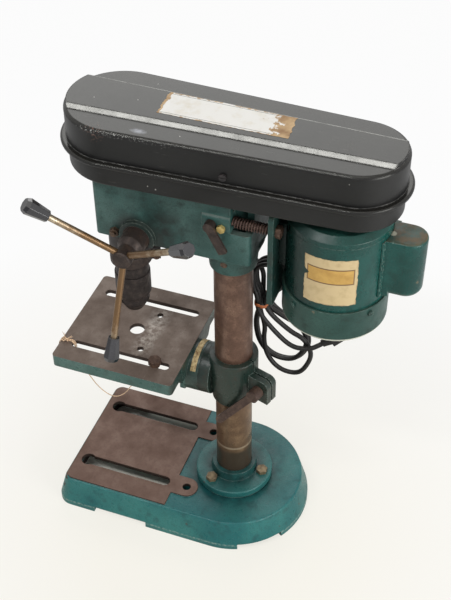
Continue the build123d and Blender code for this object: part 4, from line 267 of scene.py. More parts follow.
# %% Fine grain
group, given, result = start_group("fine_grain", {"Scale": 900.0}, {"Height": "Float"})
group.feed(result, {"Height": group.cloud(given["Scale"], 2)})

# %% Settled dust
inputs = {"Scale": 60.0, "Amount": 0.5, "Evenness": 0.35}
group, given, result = start_group("settled_dust", inputs, {"Mask": "Float"})
drift = group.spread(group.cloud(given["Scale"], 5), given["Evenness"], 1.0)
group.feed(result, {"Mask": group.times(facing_up(group, 0.45, 0.95), drift, given["Amount"])})

# %% Rust patina
SURFACE = {"Color": "Color", "Roughness": "Float", "Height": "Float"}
inputs = {"Scale": 60.0, "Dark": tone(70, 48, 36), "Mid": tone(122, 98, 82), "Light": tone(160, 140, 118)}
group, given, result = start_group("rust_patina", inputs, SURFACE)
broad = group.cloud(given["Scale"], 5, 0.62)
fine = group.cloud(group.times(given["Scale"], 9.0), 4, 0.65)
colour = group.mix(group.fade(broad, 0.42, 0.82), given["Mid"], given["Dark"])
colour = group.mix(group.fade(broad, 0.48, 0.22, 0.0, 0.9), colour, given["Light"])
colour = group.mix(group.fade(fine, 0.5, 0.72, 0.0, 0.7), colour, given["Dark"])
roughness = group.spread(broad, 0.42, 0.78)
group.feed(result, {"Color": colour, "Roughness": roughness, "Height": group.plus(fine, broad)})

# %% Paint skin
inputs = {"Paint": tone(54, 104, 101), "Faded": tone(78, 120, 114), "Grime": tone(40, 58, 54)}
inputs.update({"Grain": 500.0, "Gloss": 0.4, "Unevenness": 1.0})
group, given, result = start_group("paint_skin", inputs, SURFACE)
broad = group.cloud(16.0, 4)
middle = group.cloud(70.0, 5, 0.6)
grain = group.cloud(given["Grain"], 2)
pores = group.fade(group.cloud(620.0, 3, 0.6), 0.5, 0.7, 0.0, 0.55)
colour = group.mix(group.fade(broad, 0.4, 0.68, 0.0, 0.8), given["Paint"], given["Faded"])
colour = group.mix(group.fade(middle, 0.54, 0.74, 0.0, 0.7), colour, given["Grime"])
colour = group.mix(pores, colour, given["Grime"])
uneven = group.times(group.spread(middle, -0.08, 0.14), given["Unevenness"])
roughness = group.plus(given["Gloss"], uneven)
height = group.plus(grain, group.times(middle, 0.5))
group.feed(result, {"Color": colour, "Roughness": roughness, "Height": height})

# %% Chips and scuffs
# Chips are a few cells of a Voronoi texture. Scuffs are noise drawn out along one axis.
inputs = {"Chip Scale": 90.0, "Chip Share": 0.1, "Stretch": (60.0, 6.0, 60.0)}
group, given, result = start_group("chips_and_scuffs", inputs, {"Chips": "Float", "Scuffs": "Float"})
ragged = group.cloud(700.0, 3)
cells = group.add("ShaderNodeTexVoronoi", {"Vector": group.where, "Scale": given["Chip Scale"]}).outputs
picked = group.maths("LESS_THAN", group.at(cells["Color"]).axis("X"), given["Chip Share"])
reach = group.plus(cells["Distance"], group.times(ragged, 0.35))
drawn_out = group.at(group.vector("MULTIPLY", group.where, given["Stretch"]))
streaks = group.fade(drawn_out.cloud(9.0, 3), 0.64, 0.74)
scuffs = group.times(streaks, group.fade(group.cloud(22.0), 0.48, 0.62))
group.feed(result, {"Chips": group.times(picked, group.fade(reach, 0.36, 0.3)), "Scuffs": scuffs})

# %% [markdown]
# ## Finishes
# Each finish starts the same way: a Principled BSDF, the Object coordinates, soft edges and a bump. Then
# its colour is built up in layers, as it was on the real machine: paint, dust, dirt, chips and bare edges.

# %% Start of a finish


class Finish(Recipe):
    """Material whose colour is laid on in layers, and whose bump waits for its height."""

    def __init__(self, name, bump=0.1, depth=0.0004, radius=0.0012, wear=1.0, breakup=260.0, mirror=0.5):
        self.material = bpy.data.materials.new(name)
        self.material.use_nodes = True
        super().__init__(self.material.node_tree)
        self.tree.nodes.clear()
        self.shader = self.add("ShaderNodeBsdfPrincipled", {"Specular IOR Level": mirror})
        self.add("ShaderNodeOutputMaterial", {"Surface": self.shader.outputs[0]})
        self.where = self.add("ShaderNodeTexCoord").outputs["Object"]
        edges = self.group("worn_edges", Radius=radius, Breakup=breakup, Amount=wear)
        self.edge = edges["Mask"]
        values = {"Strength": bump, "Distance": depth, "Normal": edges["Normal"]}
        self.relief = self.add("ShaderNodeBump", values)
        self.feed(self.shader.inputs, {"Normal": self.relief.outputs[0]})

    def grain(self):
        """Height of a fine bump, which keeps highlights from looking perfect."""
        return self.group("fine_grain")["Height"]

    def over(self, colour, *masks):
        """Lay a colour over those below, as far as the masks let it show."""
        self.colour = self.mix(self.times(*masks), self.colour, colour)

    def done(self, roughness, height, metallic=0.0):
        """Wire up the layers and give back the material."""
        values = {"Base Color": self.colour, "Roughness": roughness, "Metallic": metallic}
        self.feed(self.shader.inputs, values)
        self.feed(self.relief.inputs, {"Height": height})
        return self.material


def dress(material, *names):
    """Give solids a finish."""
    for name in names:
        slots = nodes[name].data.materials
        slots.clear()
        slots.append(material)
    print(material.name, "on", ", ".join(names))


def paint_tones(paint, faded, grime):
    return {"Paint": tone(*paint), "Faded": tone(*faded), "Grime": tone(*grime)}


def rust_tones(dark, mid, light):
    return {"Dark": tone(*dark), "Mid": tone(*mid), "Light": tone(*light)}


print("finishes ready")

# %% [markdown]
# ### Teal castings
# Base, flange, table and table bracket are iron castings with thick teal paint, and each has its own dark
# marks: oil with painted shade on the base round the flange and on the flange round the column, a darker
# tilt disc, and a darker tilt boss with painted shade on the wall beside it. A picture of paint would need
# an unwrapped mesh. Noise needs none, and one function gives all four the same paint and takes the marks of
# each as a function of its own.

# %% Thick teal paint
COLUMN_Y = 0.049


def thick_teal(name, tones, grime):
    """Thick chipped paint with a casting's own dark marks and painted shade. Gives the finish, its
    roughness and its height.
    """
    look = Finish(name, bump=0.3, depth=0.0006, radius=0.0014, wear=0.9, breakup=420.0, mirror=0.34)
    coat = look.group("paint_skin", Grain=420.0, Gloss=0.3, **tones)
    marks = look.group("chips_and_scuffs", Chip_Scale=95.0, Chip_Share=0.05)
    dust = look.group("settled_dust", Scale=45.0, Amount=0.05)["Mask"]
    specks = look.fade(look.cloud(950.0, 2), 0.68, 0.74, 0.0, 0.35)
    look.colour = coat["Color"]
    look.over(tone(128, 134, 124), dust)
    look.over(tone(118, 150, 144), specks)
    look.over(tone(70, 58, 48), marks["Chips"], 0.8)
    look.over(tone(150, 168, 158), look.edge, 0.8)
    # Each casting's own dark marks: dirt, and painted shade round flange, column and tilt boss.
    grime(look)
    return look, look.plus(coat["Roughness"], look.times(dust, 0.3)), coat["Height"]


def base_dirt_shade_and_highlight(look):
    """Oily dirt and painted contact shade on the base round the flange, and a pale dotted painted highlight
    above the foot lip.
    """
    # Oily dirt, darkest next to the flange: partly painted contact shade where the flange stands on the
    # base.
    round_flange = spot(look, (0, COLUMN_Y, 0.042), 0.084, 0.4)
    look.over(tone(7, 36, 38), round_flange, patchy(look, 60.0, 0.4), 0.85)
    # Painted highlight: a pale dotted line on the step of the foot lip, broken up like worn paint.
    rise = look.axis("Z")
    lip = look.times(look.fade(rise, 0.0055, 0.0065), look.fade(rise, 0.0095, 0.008))
    dotted = look.fade(look.cloud(300.0, 3), 0.4, 0.6)
    look.over(tone(150, 172, 164), lip, dotted, 0.55)


def collar_dirt_and_shade(look):
    """Dark oily dirt and painted shade on the flange where the column comes out of it."""
    seen_from_above = look.at(look.vector("MULTIPLY", look.where, (1, 1, 0)))
    ring = spot(seen_from_above, (0, COLUMN_Y, 0), 0.046, 0.3)
    look.over(tone(20, 40, 39), ring, patchy(look, 80.0, 0.5), 0.85)


def darker_disc(look):
    """Darker on the bracket's tilt disc and under its collar."""
    by_disc = look.fade(look.axis("Y"), 0.024, 0.012)
    look.over(tone(20, 30, 27), by_disc, patchy(look, 70.0, 0.5), 0.75)


def boss_and_wall_shade(look):
    """Darker on the table's tilt boss, and painted shade on the wall beside it."""
    by_boss = look.fade(look.axis("Y"), -0.006, -0.0025)
    look.over(tone(34, 38, 32), by_boss, patchy(look, 70.0, 0.65), 0.85)


flange_tones = paint_tones((30, 90, 89), (52, 112, 109), (22, 56, 56))
look, rough, height = thick_teal("flange_teal", flange_tones, collar_dirt_and_shade)
dress(look.done(rough, height), "column_flange")
bracket_tones = paint_tones((20, 42, 37), (50, 60, 52), (54, 41, 32))
look, rough, height = thick_teal("bracket_teal", bracket_tones, darker_disc)
dress(look.done(rough, height), "table_bracket")

# %% [markdown]
# ### Machined faces
# The pad of the base and the top of the table were ground and left bare, and have gone brown. They could
# be split off as faces of their own, but height and the way they face tell them apart just as well.

# %% Machined faces


def machine(look, rough, height, patina, ground, cut_boxes, scrape=None):
    """Bare iron on the ground faces, and dark walls in the boxes where the casting is cut."""
    rust = look.group("rust_patina", **patina)
    painted = look.colour
    look.colour = rust["Color"]
    if scrape:
        scrape(look)
    up = facing_up(look)
    bare = look.times(ground, up)
    for corners in cut_boxes:
        walls = look.times(inside_box(look, *corners), look.minus(1.0, up))
        look.over(tone(58, 46, 40), walls)
        bare = look.larger(bare, walls)
    look.colour = look.mix(bare, painted, look.colour)
    rough = look.between(bare, rough, rust["Roughness"])
    height = look.between(bare, height, look.times(rust["Height"], 0.2))
    return look.done(rough, height, look.times(bare, 0.25))


def table_scrapes(look):
    """Whitish scraped band between the table's two small holes, and bright scuffs."""
    across = look.fade(look.maths("ABSOLUTE", look.axis("X")), 0.06, 0.02)
    band = look.fade(look.maths("ABSOLUTE", look.plus(look.axis("Y"), 0.06)), 0.016, 0.004)
    ragged = look.fade(look.cloud(140.0, 5, 0.7), 0.4, 0.62)
    look.over(tone(196, 188, 178), across, band, ragged, 0.7)
    marks = look.group("chips_and_scuffs", Stretch=(8.0, 60.0, 60.0))
    look.over(tone(182, 172, 160), marks["Scuffs"], 0.35)


print("machined faces ready")

# %% Base
# The two boxes hold the walls of the slots and of the hollow below. A strip in front of the pad, a little
# lower than the pad, is bare too.
BASE_CUTS = ((-0.0895, -0.161, 0.0386), (0.0895, 0.016, 0.0445))
BASE_HOLLOW = ((-0.0912, -0.1632, -0.001), (0.0912, 0.016, 0.03))
BASE_GROUND = 0.0435
STRIP_GROUND = 0.0405
base_tones = paint_tones((22, 97, 99), (54, 123, 119), (20, 64, 66))
base_rust = {"Scale": 34.0, **rust_tones((98, 76, 66), (113, 90, 79), (122, 100, 88))}
look, rough, height = thick_teal("base_teal", base_tones, base_dirt_shade_and_highlight)
front_strip = look.times(look.fade(look.axis("Y"), -0.158, -0.1592), above(look, STRIP_GROUND))
ground = look.larger(above(look, BASE_GROUND), front_strip)
dress(machine(look, rough, height, base_rust, ground, (BASE_CUTS, BASE_HOLLOW)), "base_casting")

# %% Table
TABLE_CUTS = ((-0.076, -0.157, 0.2576), (0.076, -0.006, 0.264))
TABLE_GROUND = 0.2624
table_tones = paint_tones((54, 90, 84), (84, 114, 107), (48, 58, 52))
table_rust = {"Scale": 32.0, **rust_tones((97, 83, 74), (113, 99, 89), (122, 109, 99))}
look, rough, height = thick_teal("table_teal", table_tones, boss_and_wall_shade)
ground = above(look, TABLE_GROUND)
dress(machine(look, rough, height, table_rust, ground, (TABLE_CUTS,), table_scrapes), "table")

# %% [markdown]
# ### Head casting
# The head has the same paint under years of grey dust, so it is duller and paler. Grease and painted shade
# darken it round the feed boss and under the belt case, and the quill housing below is sooty. Such stains
# and shade could be painted by hand. A soft ball about a point, broken up by noise, is enough here and is
# easy to move.

# %% Head casting
HEAD_BOTTOM = 0.444
FEED_AXIS = Vector((0.0, -0.0485, 0.4535))
BOSS_FACE_X = 0.05
look = Finish("head_green", bump=0.25, depth=0.0005, radius=0.0014, wear=0.8, breakup=300.0, mirror=0.32)
head_tones = paint_tones((40, 76, 71), (78, 109, 103), (28, 39, 36))
coat = look.group("paint_skin", Grain=420.0, Gloss=0.42, **head_tones)
marks = look.group("chips_and_scuffs", Chip_Scale=80.0, Chip_Share=0.06)
dust = look.group("settled_dust", Scale=60.0, Amount=0.5)["Mask"]
broken_patches = look.fade(look.cloud(38.0, 4, 0.6), 0.3, 0.62)
boss_shade_and_grease = spot(look, (0.042, -0.028, 0.462), 0.075, 0.75)
pan_shade_and_grease = look.fade(look.axis("Z"), 0.505, 0.529, 0.0, 0.7)
look.colour = coat["Color"]
look.over(tone(118, 118, 110), dust)
# Grease with painted shade: round the feed boss and under the belt case.
look.over(tone(20, 24, 22), look.larger(boss_shade_and_grease, pan_shade_and_grease), broken_patches, 0.9)
# Painted shade and grease on the boss face, round the feed hub.
look.over(tone(38, 45, 41), spot(look, (BOSS_FACE_X, *FEED_AXIS.yz), 0.033, 0.3), 0.75)
look.over(tone(56, 50, 44), marks["Chips"])
look.over(tone(116, 126, 114), look.edge, 0.7)
soot_tones = rust_tones((26, 22, 21), (44, 38, 36), (70, 62, 56))
soot = look.group("rust_patina", Scale=90.0, **soot_tones)
below_head = look.fade(look.axis("Z"), HEAD_BOTTOM + 0.0005, HEAD_BOTTOM - 0.0005)
look.over(soot["Color"], below_head, look.fade(look.axis("Y"), -0.02, -0.03))
dress(look.done(coat["Roughness"], coat["Height"]), "head_casting", "return_spring_cup")

# %% [markdown]
# ### Motor
# Shell and end bells carry a smoother, glossier paint that went on over everything, screws too. Painted
# shade darkens the side towards the column, rust lies on top of the capacitor cover, and the lower bell has
# a pale rim.
# Four finishes written out would differ in a few numbers and one mark, so one function makes them all.

# %% Motor paint
BELL_RIM = 0.3815


def column_side_shade(look):
    """Painted shade on the side towards the column."""
    by_column = look.fade(look.axis("Y"), 0.2, 0.125)
    look.over(tone(8, 26, 22), by_column, 0.95)


def pale_rim(look):
    """Rubbed rim at the foot of the lower bell."""
    look.over(tone(196, 198, 184), look.fade(look.axis("Z"), BELL_RIM + 0.001, BELL_RIM))


def rusty_top(look):
    """Rust patches on what faces up, and one blob of pale paint."""
    top = facing_up(look)
    look.over(tone(98, 78, 48), top, look.fade(look.cloud(75.0, 6, 0.68), 0.4, 0.58), 0.85)
    look.over(tone(206, 200, 178), top, spot(look, (0.004, 0.2285, 0.5025), 0.0045, 0.3))


def motor_paint(name, tones, gloss, film, rubbed=0.4, marked=None):
    look = Finish(name, bump=0.1, depth=0.0004, radius=0.0016, wear=0.8, breakup=240.0, mirror=0.3)
    coat = look.group("paint_skin", Grain=300.0, Gloss=gloss, **tones)
    marks = look.group("chips_and_scuffs", Chip_Scale=85.0, Chip_Share=0.035)
    dust = look.group("settled_dust", Scale=50.0, Amount=film)["Mask"]
    look.colour = coat["Color"]
    look.over(tone(104, 104, 90), dust)
    look.over(tone(112, 104, 84), marks["Chips"], 0.7)
    look.over(tone(142, 166, 154), look.edge, rubbed)
    if marked:
        marked(look)
    return look.done(look.plus(coat["Roughness"], look.times(dust, 0.4)), coat["Height"])


shell_tones = paint_tones((13, 64, 57), (28, 92, 85), (16, 40, 35))
shell_teal = motor_paint("motor_teal", shell_tones, gloss=0.28, film=0.12, marked=column_side_shade)
dress(shell_teal, "motor_frame", "motor_top_bell")
cover_tones = paint_tones((12, 62, 56), (34, 100, 92), (18, 44, 38))
cover_teal = motor_paint("capacitor_teal", cover_tones, gloss=0.24, film=0.45, rubbed=0.8, marked=rusty_top)
dress(cover_teal, "capacitor_cover")
bell_tones = paint_tones((28, 62, 55), (52, 86, 78), (24, 42, 36))
bell_teal = motor_paint("bell_teal", bell_tones, gloss=0.34, film=0.2, marked=pale_rim)
dress(bell_teal, "motor_lower_bell", "bell_screws")
plate_tones = paint_tones((22, 54, 49), (34, 68, 62), (44, 38, 32))
dress(motor_paint("plate_teal", plate_tones, gloss=0.4, film=0.4), "motor_plate")

# %% [markdown]
# ### Black belt case
# Lid and pan are pressed sheet with satin black paint. Seen from above, the lid looks grey because of
# the dust film on it, and light scuffs and white chips show along its edges. A grey paint could stand for
# the film, but would turn the sides grey too. So dust lies on what faces up, and the sides are black.

# %% Marks on the lid
LID_SHELF = 0.5984
PANEL_EDGE = 0.6015


def ridge_highlight(look):
    """Thin pale line along the far ridge of the lid's panel, which narrows towards the rear: a painted
    highlight.
    """
    ridge = look.fade(look.axis("Y"), -0.1315, 0.2195, -0.0288, -0.021)
    off = look.maths("ABSOLUTE", look.minus(look.axis("X"), ridge))
    broken = look.fade(look.cloud(90.0, 4), 0.3, 0.55, 0.35, 1.0)
    look.over(tone(176, 176, 170), look.fade(off, 0.0011, 0.0005), above(look, PANEL_EDGE), broken, 0.75)


def wiped_smudge(look):
    """Drawn-out smudge on the near shelf."""
    from_smudge = look.vector("SUBTRACT", look.where, (0.048, -0.0365, LID_SHELF))
    values = {"Vector": from_smudge, "Rotation": (0, 0, -0.6), "Scale": (2.2, 1.0, 0.0)}
    drawn_out = look.at(look.add("ShaderNodeMapping", values).outputs[0])
    smudge = spot(drawn_out, (0, 0, 0), 0.0105, 0.75)
    shelf = above(look, LID_SHELF - 0.0009)
    look.over(tone(180, 184, 194), smudge, shelf, patchy(look, 260.0, 0.4), 0.85)


def chipped_edge(look):
    """Rust and chipped paint on the near edge of the lid."""
    flaked = look.fade(look.cloud(420.0, 4), 0.55, 0.62)
    look.over(tone(136, 104, 92), spot(look, (0.058, -0.082, 0.595), 0.014, 0.8), flaked, 0.5)
    rise = look.axis("Z")
    brink = look.times(look.fade(rise, 0.592, 0.5955), look.fade(rise, LID_SHELF, 0.5965))
    near = look.fade(look.axis("X"), 0.054, 0.0585)
    front = look.fade(look.axis("Y"), 0.02, -0.05)
    chipped = look.fade(look.cloud(520.0, 3), 0.58, 0.64)
    look.over(tone(190, 190, 186), brink, near, front, chipped, 0.7)


lid_marks = (ridge_highlight, wiped_smudge, chipped_edge)
print("marks on the lid", len(lid_marks))

# %% Black belt case


def case_black(name, film, gloss, side_gloss, marked=()):
    look = Finish(name, bump=0.02, depth=0.0002, radius=0.0018, wear=1.0, breakup=200.0, mirror=0.37)
    tones = paint_tones((11, 11, 12), (18, 18, 19), (9, 9, 9))
    coat = look.group("paint_skin", Grain=1200.0, Gloss=gloss, Unevenness=0.2, **tones)
    scuffs = {"Chip_Scale": 190.0, "Chip_Share": 0.012, "Stretch": (40.0, 5.0, 40.0)}
    marks = look.group("chips_and_scuffs", **scuffs)
    dust = look.group("settled_dust", Scale=26.0, Amount=film, Evenness=0.45)["Mask"]
    grit = look.fade(look.cloud(900.0, 3), 0.4, 0.75, 0.4, 1.6)
    look.colour = coat["Color"]
    look.over(tone(158, 152, 136), dust, grit)
    look.over(tone(150, 146, 140), marks["Scuffs"], 0.1)
    look.over(tone(186, 184, 178), marks["Chips"], 0.6)
    look.over(tone(176, 174, 170), look.edge, 0.3)
    for mark in marked:
        mark(look)
    uneven = look.plus(coat["Roughness"], look.spread(look.cloud(24.0, 3), -0.02, 0.03))
    dusty = look.plus(uneven, look.times(dust, 0.3))
    look.shader.inputs["Specular Tint"].default_value = (1.0, 0.995, 0.94, 1)
    return look.done(look.between(facing_up(look, 0.3, 0.6), side_gloss, dusty), coat["Height"])


lid_black = case_black("lid_black", film=0.05, gloss=0.13, side_gloss=0.4, marked=lid_marks)
dress(lid_black, "belt_case_lid")
pan_black = case_black("pan_black", film=0.04, gloss=0.2, side_gloss=0.42)
dress(pan_black, "belt_case_pan", "pan_hinge", "lid_hinge")

# %% [markdown]
# ### Rusty steel
# The column is bright bar that has browned, more golden low down, with a pale ring a little above its
# flange. Small steel pieces rust darker. A picture of rust would show its own size on each of them, while
# a noise can be scaled to a column or to a screw.

# %% Column
look = Finish("column_patina", bump=0.05, depth=0.0003, radius=0.0008, wear=0.3)
upper_tones = rust_tones((70, 48, 39), (106, 80, 66), (134, 106, 90))
lower_tones = rust_tones((72, 52, 37), (112, 88, 66), (142, 117, 90))
upper = look.group("rust_patina", Scale=60.0, **upper_tones)
lower = look.group("rust_patina", Scale=55.0, **lower_tones)
rise = look.axis("Z")
look.colour = upper["Color"]
look.over(lower["Color"], look.fade(rise, 0.26, 0.17))
look.over(tone(74, 62, 50), look.fade(rise, 0.106, 0.1))
look.over(tone(190, 172, 148), above(look, 0.1085, 0.001), look.fade(rise, 0.1125, 0.111), 0.5)
dress(look.done(look.times(upper["Roughness"], 0.6), upper["Height"], 0.5), "column")

# %% Small rusty pieces


def rusty(name, scale, tones, metallic, bump=0.2):
    look = Finish(name, bump=bump, depth=0.0004, radius=0.0008, wear=0.7)
    tones = rust_tones(*tones)
    rust = look.group("rust_patina", Scale=scale, **tones)
    look.colour = rust["Color"]
    look.over(tones["Light"], look.edge, 0.6)
    return look.done(rust["Roughness"], rust["Height"], metallic)


brown_steel = rusty("brown_steel", 120.0, ((52, 37, 30), (88, 66, 53), (124, 100, 82)), metallic=0.4)
dress(brown_steel, "slot_bolt", "slide_rods", "tilt_stop_pin", "plate_fasteners")
dress(brown_steel, "bracket_fasteners", "collar_screw")
hub_steel = rusty("hub_steel", 110.0, ((27, 20, 17), (51, 39, 33), (78, 61, 51)), metallic=0.25)
dress(hub_steel, "feed_hub", "pinion_shaft", "quill_stop_collar", "tension_lock_lever")
catch_rust = rusty("catch_rust", 200.0, ((16, 14, 14), (30, 26, 26), (58, 48, 46)), metallic=0.0, bump=0.1)
dress(catch_rust, "lid_catch_screw")
chuck_rust = rusty("chuck_rust", 130.0, ((28, 22, 20), (47, 39, 36), (72, 61, 55)), metallic=0.4)
dress(chuck_rust, "chuck_body", "chuck_sleeve")
lever_rust = rusty("lever_rust", 140.0, ((46, 33, 28), (76, 57, 48), (104, 82, 68)), metallic=0.25)
dress(lever_rust, "table_clamp_lever")

# %% [markdown]
# ### Bright and plated steel
# Turned parts inside the machine are still bright under their oil, and the pulleys are bare alloy. The
# plating of the flange bolts has dulled, and that of the tilt scale has yellowed. Metal in one even tone
# looks like plastic, so two tones run into each other over a noise, and the gloss follows it.

# %% Bright and plated steel


def metal(name, light, dark, gloss, metallic=0.9, tarnish=90.0):
    look = Finish(name, bump=0.05, depth=0.0002, radius=0.0006, wear=0.8)
    stains = look.cloud(tarnish, 5, 0.62)
    look.colour = look.mix(look.fade(stains, 0.4, 0.66), light, dark)
    look.over(tone(214, 208, 198), look.edge, 0.5)
    return look.done(look.spread(stains, gloss, gloss + 0.25), look.grain(), metallic)


bright = metal("oiled_steel", tone(176, 174, 170), tone(128, 122, 114), gloss=0.28)
dress(bright, "quill", "spindle", "rotor", "drive_sleeve", "return_spring", "stator")
dress(bright, "quill_bearings", "drive_bearings", "motor_bearings")
dress(bright, "chuck_jaw_1", "chuck_jaw_2", "chuck_jaw_3")
dull_bolts = metal("dull_bolts", tone(126, 110, 84), tone(68, 56, 42), gloss=0.4, metallic=0.5)
dress(dull_bolts, "flange_bolts")
alloy = metal("pulley_alloy", tone(186, 188, 190), tone(150, 150, 150), gloss=0.34)
dress(alloy, "spindle_pulley", "motor_pulley")
gold = metal("gold_scale", tone(190, 170, 124), tone(126, 98, 62), gloss=0.45, metallic=0.25, tarnish=260.0)
dress(gold, "tilt_scale")

# %% [markdown]
# ### Spokes and head screws
# The zinc on the spokes has gone brown near the hub, where hands and oil reach it, and all along the
# lowest spoke. Of the head's screws only the stop bolt beside the slide lug is still yellow. The spokes
# are one piece and so are the screws. They could be split up, but their place tells them apart as well.

# %% Spokes and head screws
STOP_BOLT = (0.047, 0.052, 0.493)
look = Finish("zinc_spokes", bump=0.05, depth=0.0002, radius=0.0006, wear=0.5)
stains = look.cloud(120.0, 5, 0.62)
seen_from_side = look.vector("MULTIPLY", look.where, (0, 1, 1))
reach = look.vector("DISTANCE", seen_from_side, FEED_AXIS)
lowest = look.fade(look.axis("Z"), 0.445, 0.42, 0.0, 0.42)
handled = look.plus(look.fade(reach, 0.105, 0.04), look.spread(stains, -0.3, 0.5))
handled = look.maths("MINIMUM", look.plus(handled, lowest), 1.0)
look.colour = look.mix(handled, tone(184, 170, 146), tone(116, 90, 62))
dress(look.done(look.spread(stains, 0.25, 0.5), look.grain(), 0.7), "feed_spokes")

look = Finish("screw_steel", bump=0.08, depth=0.0002, radius=0.0006, wear=0.6)
stains = look.cloud(200.0, 4)
stained = look.fade(stains, 0.4, 0.66)
look.colour = look.mix(stained, tone(102, 82, 66), tone(62, 48, 40))
yellow_zinc = look.mix(stained, tone(206, 186, 118), tone(160, 132, 76))
look.over(yellow_zinc, spot(look, STOP_BOLT, 0.012, 0.2))
dress(look.done(look.spread(stains, 0.35, 0.6), look.grain(), 0.5), "head_screws")

# %% [markdown]
# ### Plastic and rubber
# The knobs are glossy moulded plastic with soft facets, the switch is a satin one, and plug and gland
# are dull rubber. Each could have a recipe of its own, but only tones, gloss and dust differ, so they
# share one. A fine bump keeps the highlights from looking perfect.

# %% Plastic and rubber


def moulded(name, clean, dusty, gloss, film, mirror=0.5):
    look = Finish(name, bump=0.03, depth=0.0002, radius=0.0007, wear=0.5, mirror=mirror)
    look.colour = look.mix(look.fade(look.cloud(45.0, 4), 0.4, 0.7), clean, dusty)
    dust = look.group("settled_dust", Scale=120.0, Amount=film)["Mask"]
    look.over(tone(140, 136, 130), dust)
    look.over(tone(120, 116, 112), look.edge, 0.4)
    rough = look.spread(look.cloud(160.0, 4), gloss, gloss + 0.08)
    return look.done(rough, look.grain())


knob_black = moulded("knob_black", tone(24, 24, 28), tone(44, 43, 48), gloss=0.08, film=0.25, mirror=0.8)
dress(knob_black, "feed_knobs")
switch_black = moulded("switch_black", tone(24, 24, 24), tone(36, 35, 34), gloss=0.42, film=0.5)
dress(switch_black, "switch_box", "switch_rocker")
rubber = moulded("cord_rubber", tone(14, 14, 14), tone(22, 21, 20), gloss=0.45, film=0.12, mirror=0.35)
dress(rubber, "mains_plug", "cord_gland")

# %% [markdown]
# ## Sweeping a section along a line
# Belt, spring, twine and tie all are one section carried along a line. Blender's curve bevel does
# that too, but it cannot twist strands or keep a belt's flat back outwards, so the rings are placed here.

# %% Sweep helpers


def new_piece(name, data):
    piece = bpy.data.objects.new(name, data)
    scene.collection.objects.link(piece)
    return piece


def sweep(name, stations, section, closed=False):
    """Mesh of a section carried along stations, each a point and its two cross directions, in metres."""
    count = len(section)
    rings = len(stations)
    points = [point + side * a + up * b for point, side, up in stations for a, b in section]
    faces = []
    for ring in range(rings if closed else rings - 1):
        here = ring * count
        there = (ring + 1) % rings * count
        for corner in range(count):
            after = (corner + 1) % count
            faces.append((here + corner, here + after, there + after, there + corner))
    if not closed:
        faces.append(tuple(reversed(range(count))))
        faces.append(tuple(range((rings - 1) * count, rings * count)))
    mesh = bpy.data.meshes.new(name)
    mesh.from_pydata(points, [], faces)
    mesh.shade_smooth()
    return new_piece(name, mesh)


def frames_along(points):
    """Stations along a line, turned as little as possible from one to the next."""
    stations = []
    side = None
    for number, point in enumerate(points):
        before = points[max(number - 1, 0)]
        after = points[min(number + 1, len(points) - 1)]
        ahead = (after - before).normalized()
        if side is None:
            side = ahead.orthogonal().normalized()
        side = (side - ahead * side.dot(ahead)).normalized()
        stations.append((point, side, ahead.cross(side)))
    return stations


def round_section(radius, sides):
    corners = [2 * math.pi * number / sides for number in range(sides)]
    return [(radius * math.cos(turn), radius * math.sin(turn)) for turn in corners]


print("sweeps ready")

# %% Cord helpers


def cord_line(name, route):
    """Smooth line of a cord: a NURBS spline whose control points are the route's, in millimetres."""
    curve = bpy.data.curves.new(name, "CURVE")
    curve.dimensions = "3D"
    spline = curve.splines.new("NURBS")
    spline.points.add(len(route) - 1)
    for point, place in zip(spline.points, route):
        point.co = (*[value / 1000 for value in place], 1)
    spline.order_u = 3
    spline.use_endpoint_u = True
    spline.resolution_u = 10
    return new_piece(name, curve)


def points_of(line):
    """Points along a cord's smooth line."""
    mesh = bpy.data.meshes.new_from_object(line)
    return [vertex.co.copy() for vertex in mesh.vertices]


def smooth_points(route):
    """Points of a cord's smooth line, which itself is not kept."""
    line = cord_line("route", route)
    points = points_of(line)
    bpy.data.objects.remove(line)
    return points


def length_of(points):
    return sum((b - a).length for a, b in zip(points, points[1:]))


print("cords ready")

# %% [markdown]
# ## Mains lead
# The lead leaves the gland of the switch box, drops to the hank behind the column and is folded there in
# three loops, tied at the waist. Three rings would look much the same, but one spline that carries it from
# end to end has the lead's real length.

# %% Mains lead
HANK_LAYERS = (-41, -34, -27, -20)
HANK_LEFTS = (66, 67, 80)
HANK_BOTTOMS = (238, 243, 229)
HANK_RIGHTS = (131, 130, 138)
WAIST_LEFT = 72.3
WAIST_RIGHT = 79.7
WAIST_LOW = 322
WAIST_HIGH = 346
CLIMB_SHARES = (0.25, 0.6, 0.9, 1.0)

first = HANK_LAYERS[0]
lead_route = [(-56, 16, 442), (-56, 16, 420), (-54, 44, 386)]
lead_route += [(first, WAIST_LEFT, 374), (first, WAIST_LEFT, WAIST_HIGH)]
climb = [(75.5, 393.5), (64.8, 381.5), (66, 358), (WAIST_LEFT, WAIST_HIGH)]
for layer, (left, bottom, right) in enumerate(zip(HANK_LEFTS, HANK_BOTTOMS, HANK_RIGHTS)):
    x = HANK_LAYERS[layer]
    step = HANK_LAYERS[layer + 1] - x
    loop = [
        (WAIST_LEFT, WAIST_LOW),
        (left + 0.5, bottom + 66),
        (left - 2, bottom + 45),
        (left + 3, bottom + 16),
        (left + 20, bottom - 3),
        ((left + right) / 2 + 14, bottom - 3),
        (right - 4, bottom + 13),
        (right + 3, bottom + 38),
        (right - 8, bottom + 60),
        (right - 26, bottom + 66),
        (WAIST_RIGHT, WAIST_LOW),
        (WAIST_RIGHT, WAIST_HIGH),
        (100, 360),
        (102, 381),
        (91, 393.5),
    ]
    lead_route += [(x, y, z) for y, z in loop]
    lead_route += [(x + step * share, y, z) for (y, z), share in zip(climb, CLIMB_SHARES)]
tail = HANK_LAYERS[-1]
lead_route += [(tail, WAIST_LEFT, WAIST_LOW), (tail, 98, 292), (tail, 117, 277), (tail, 135, 279.5)]
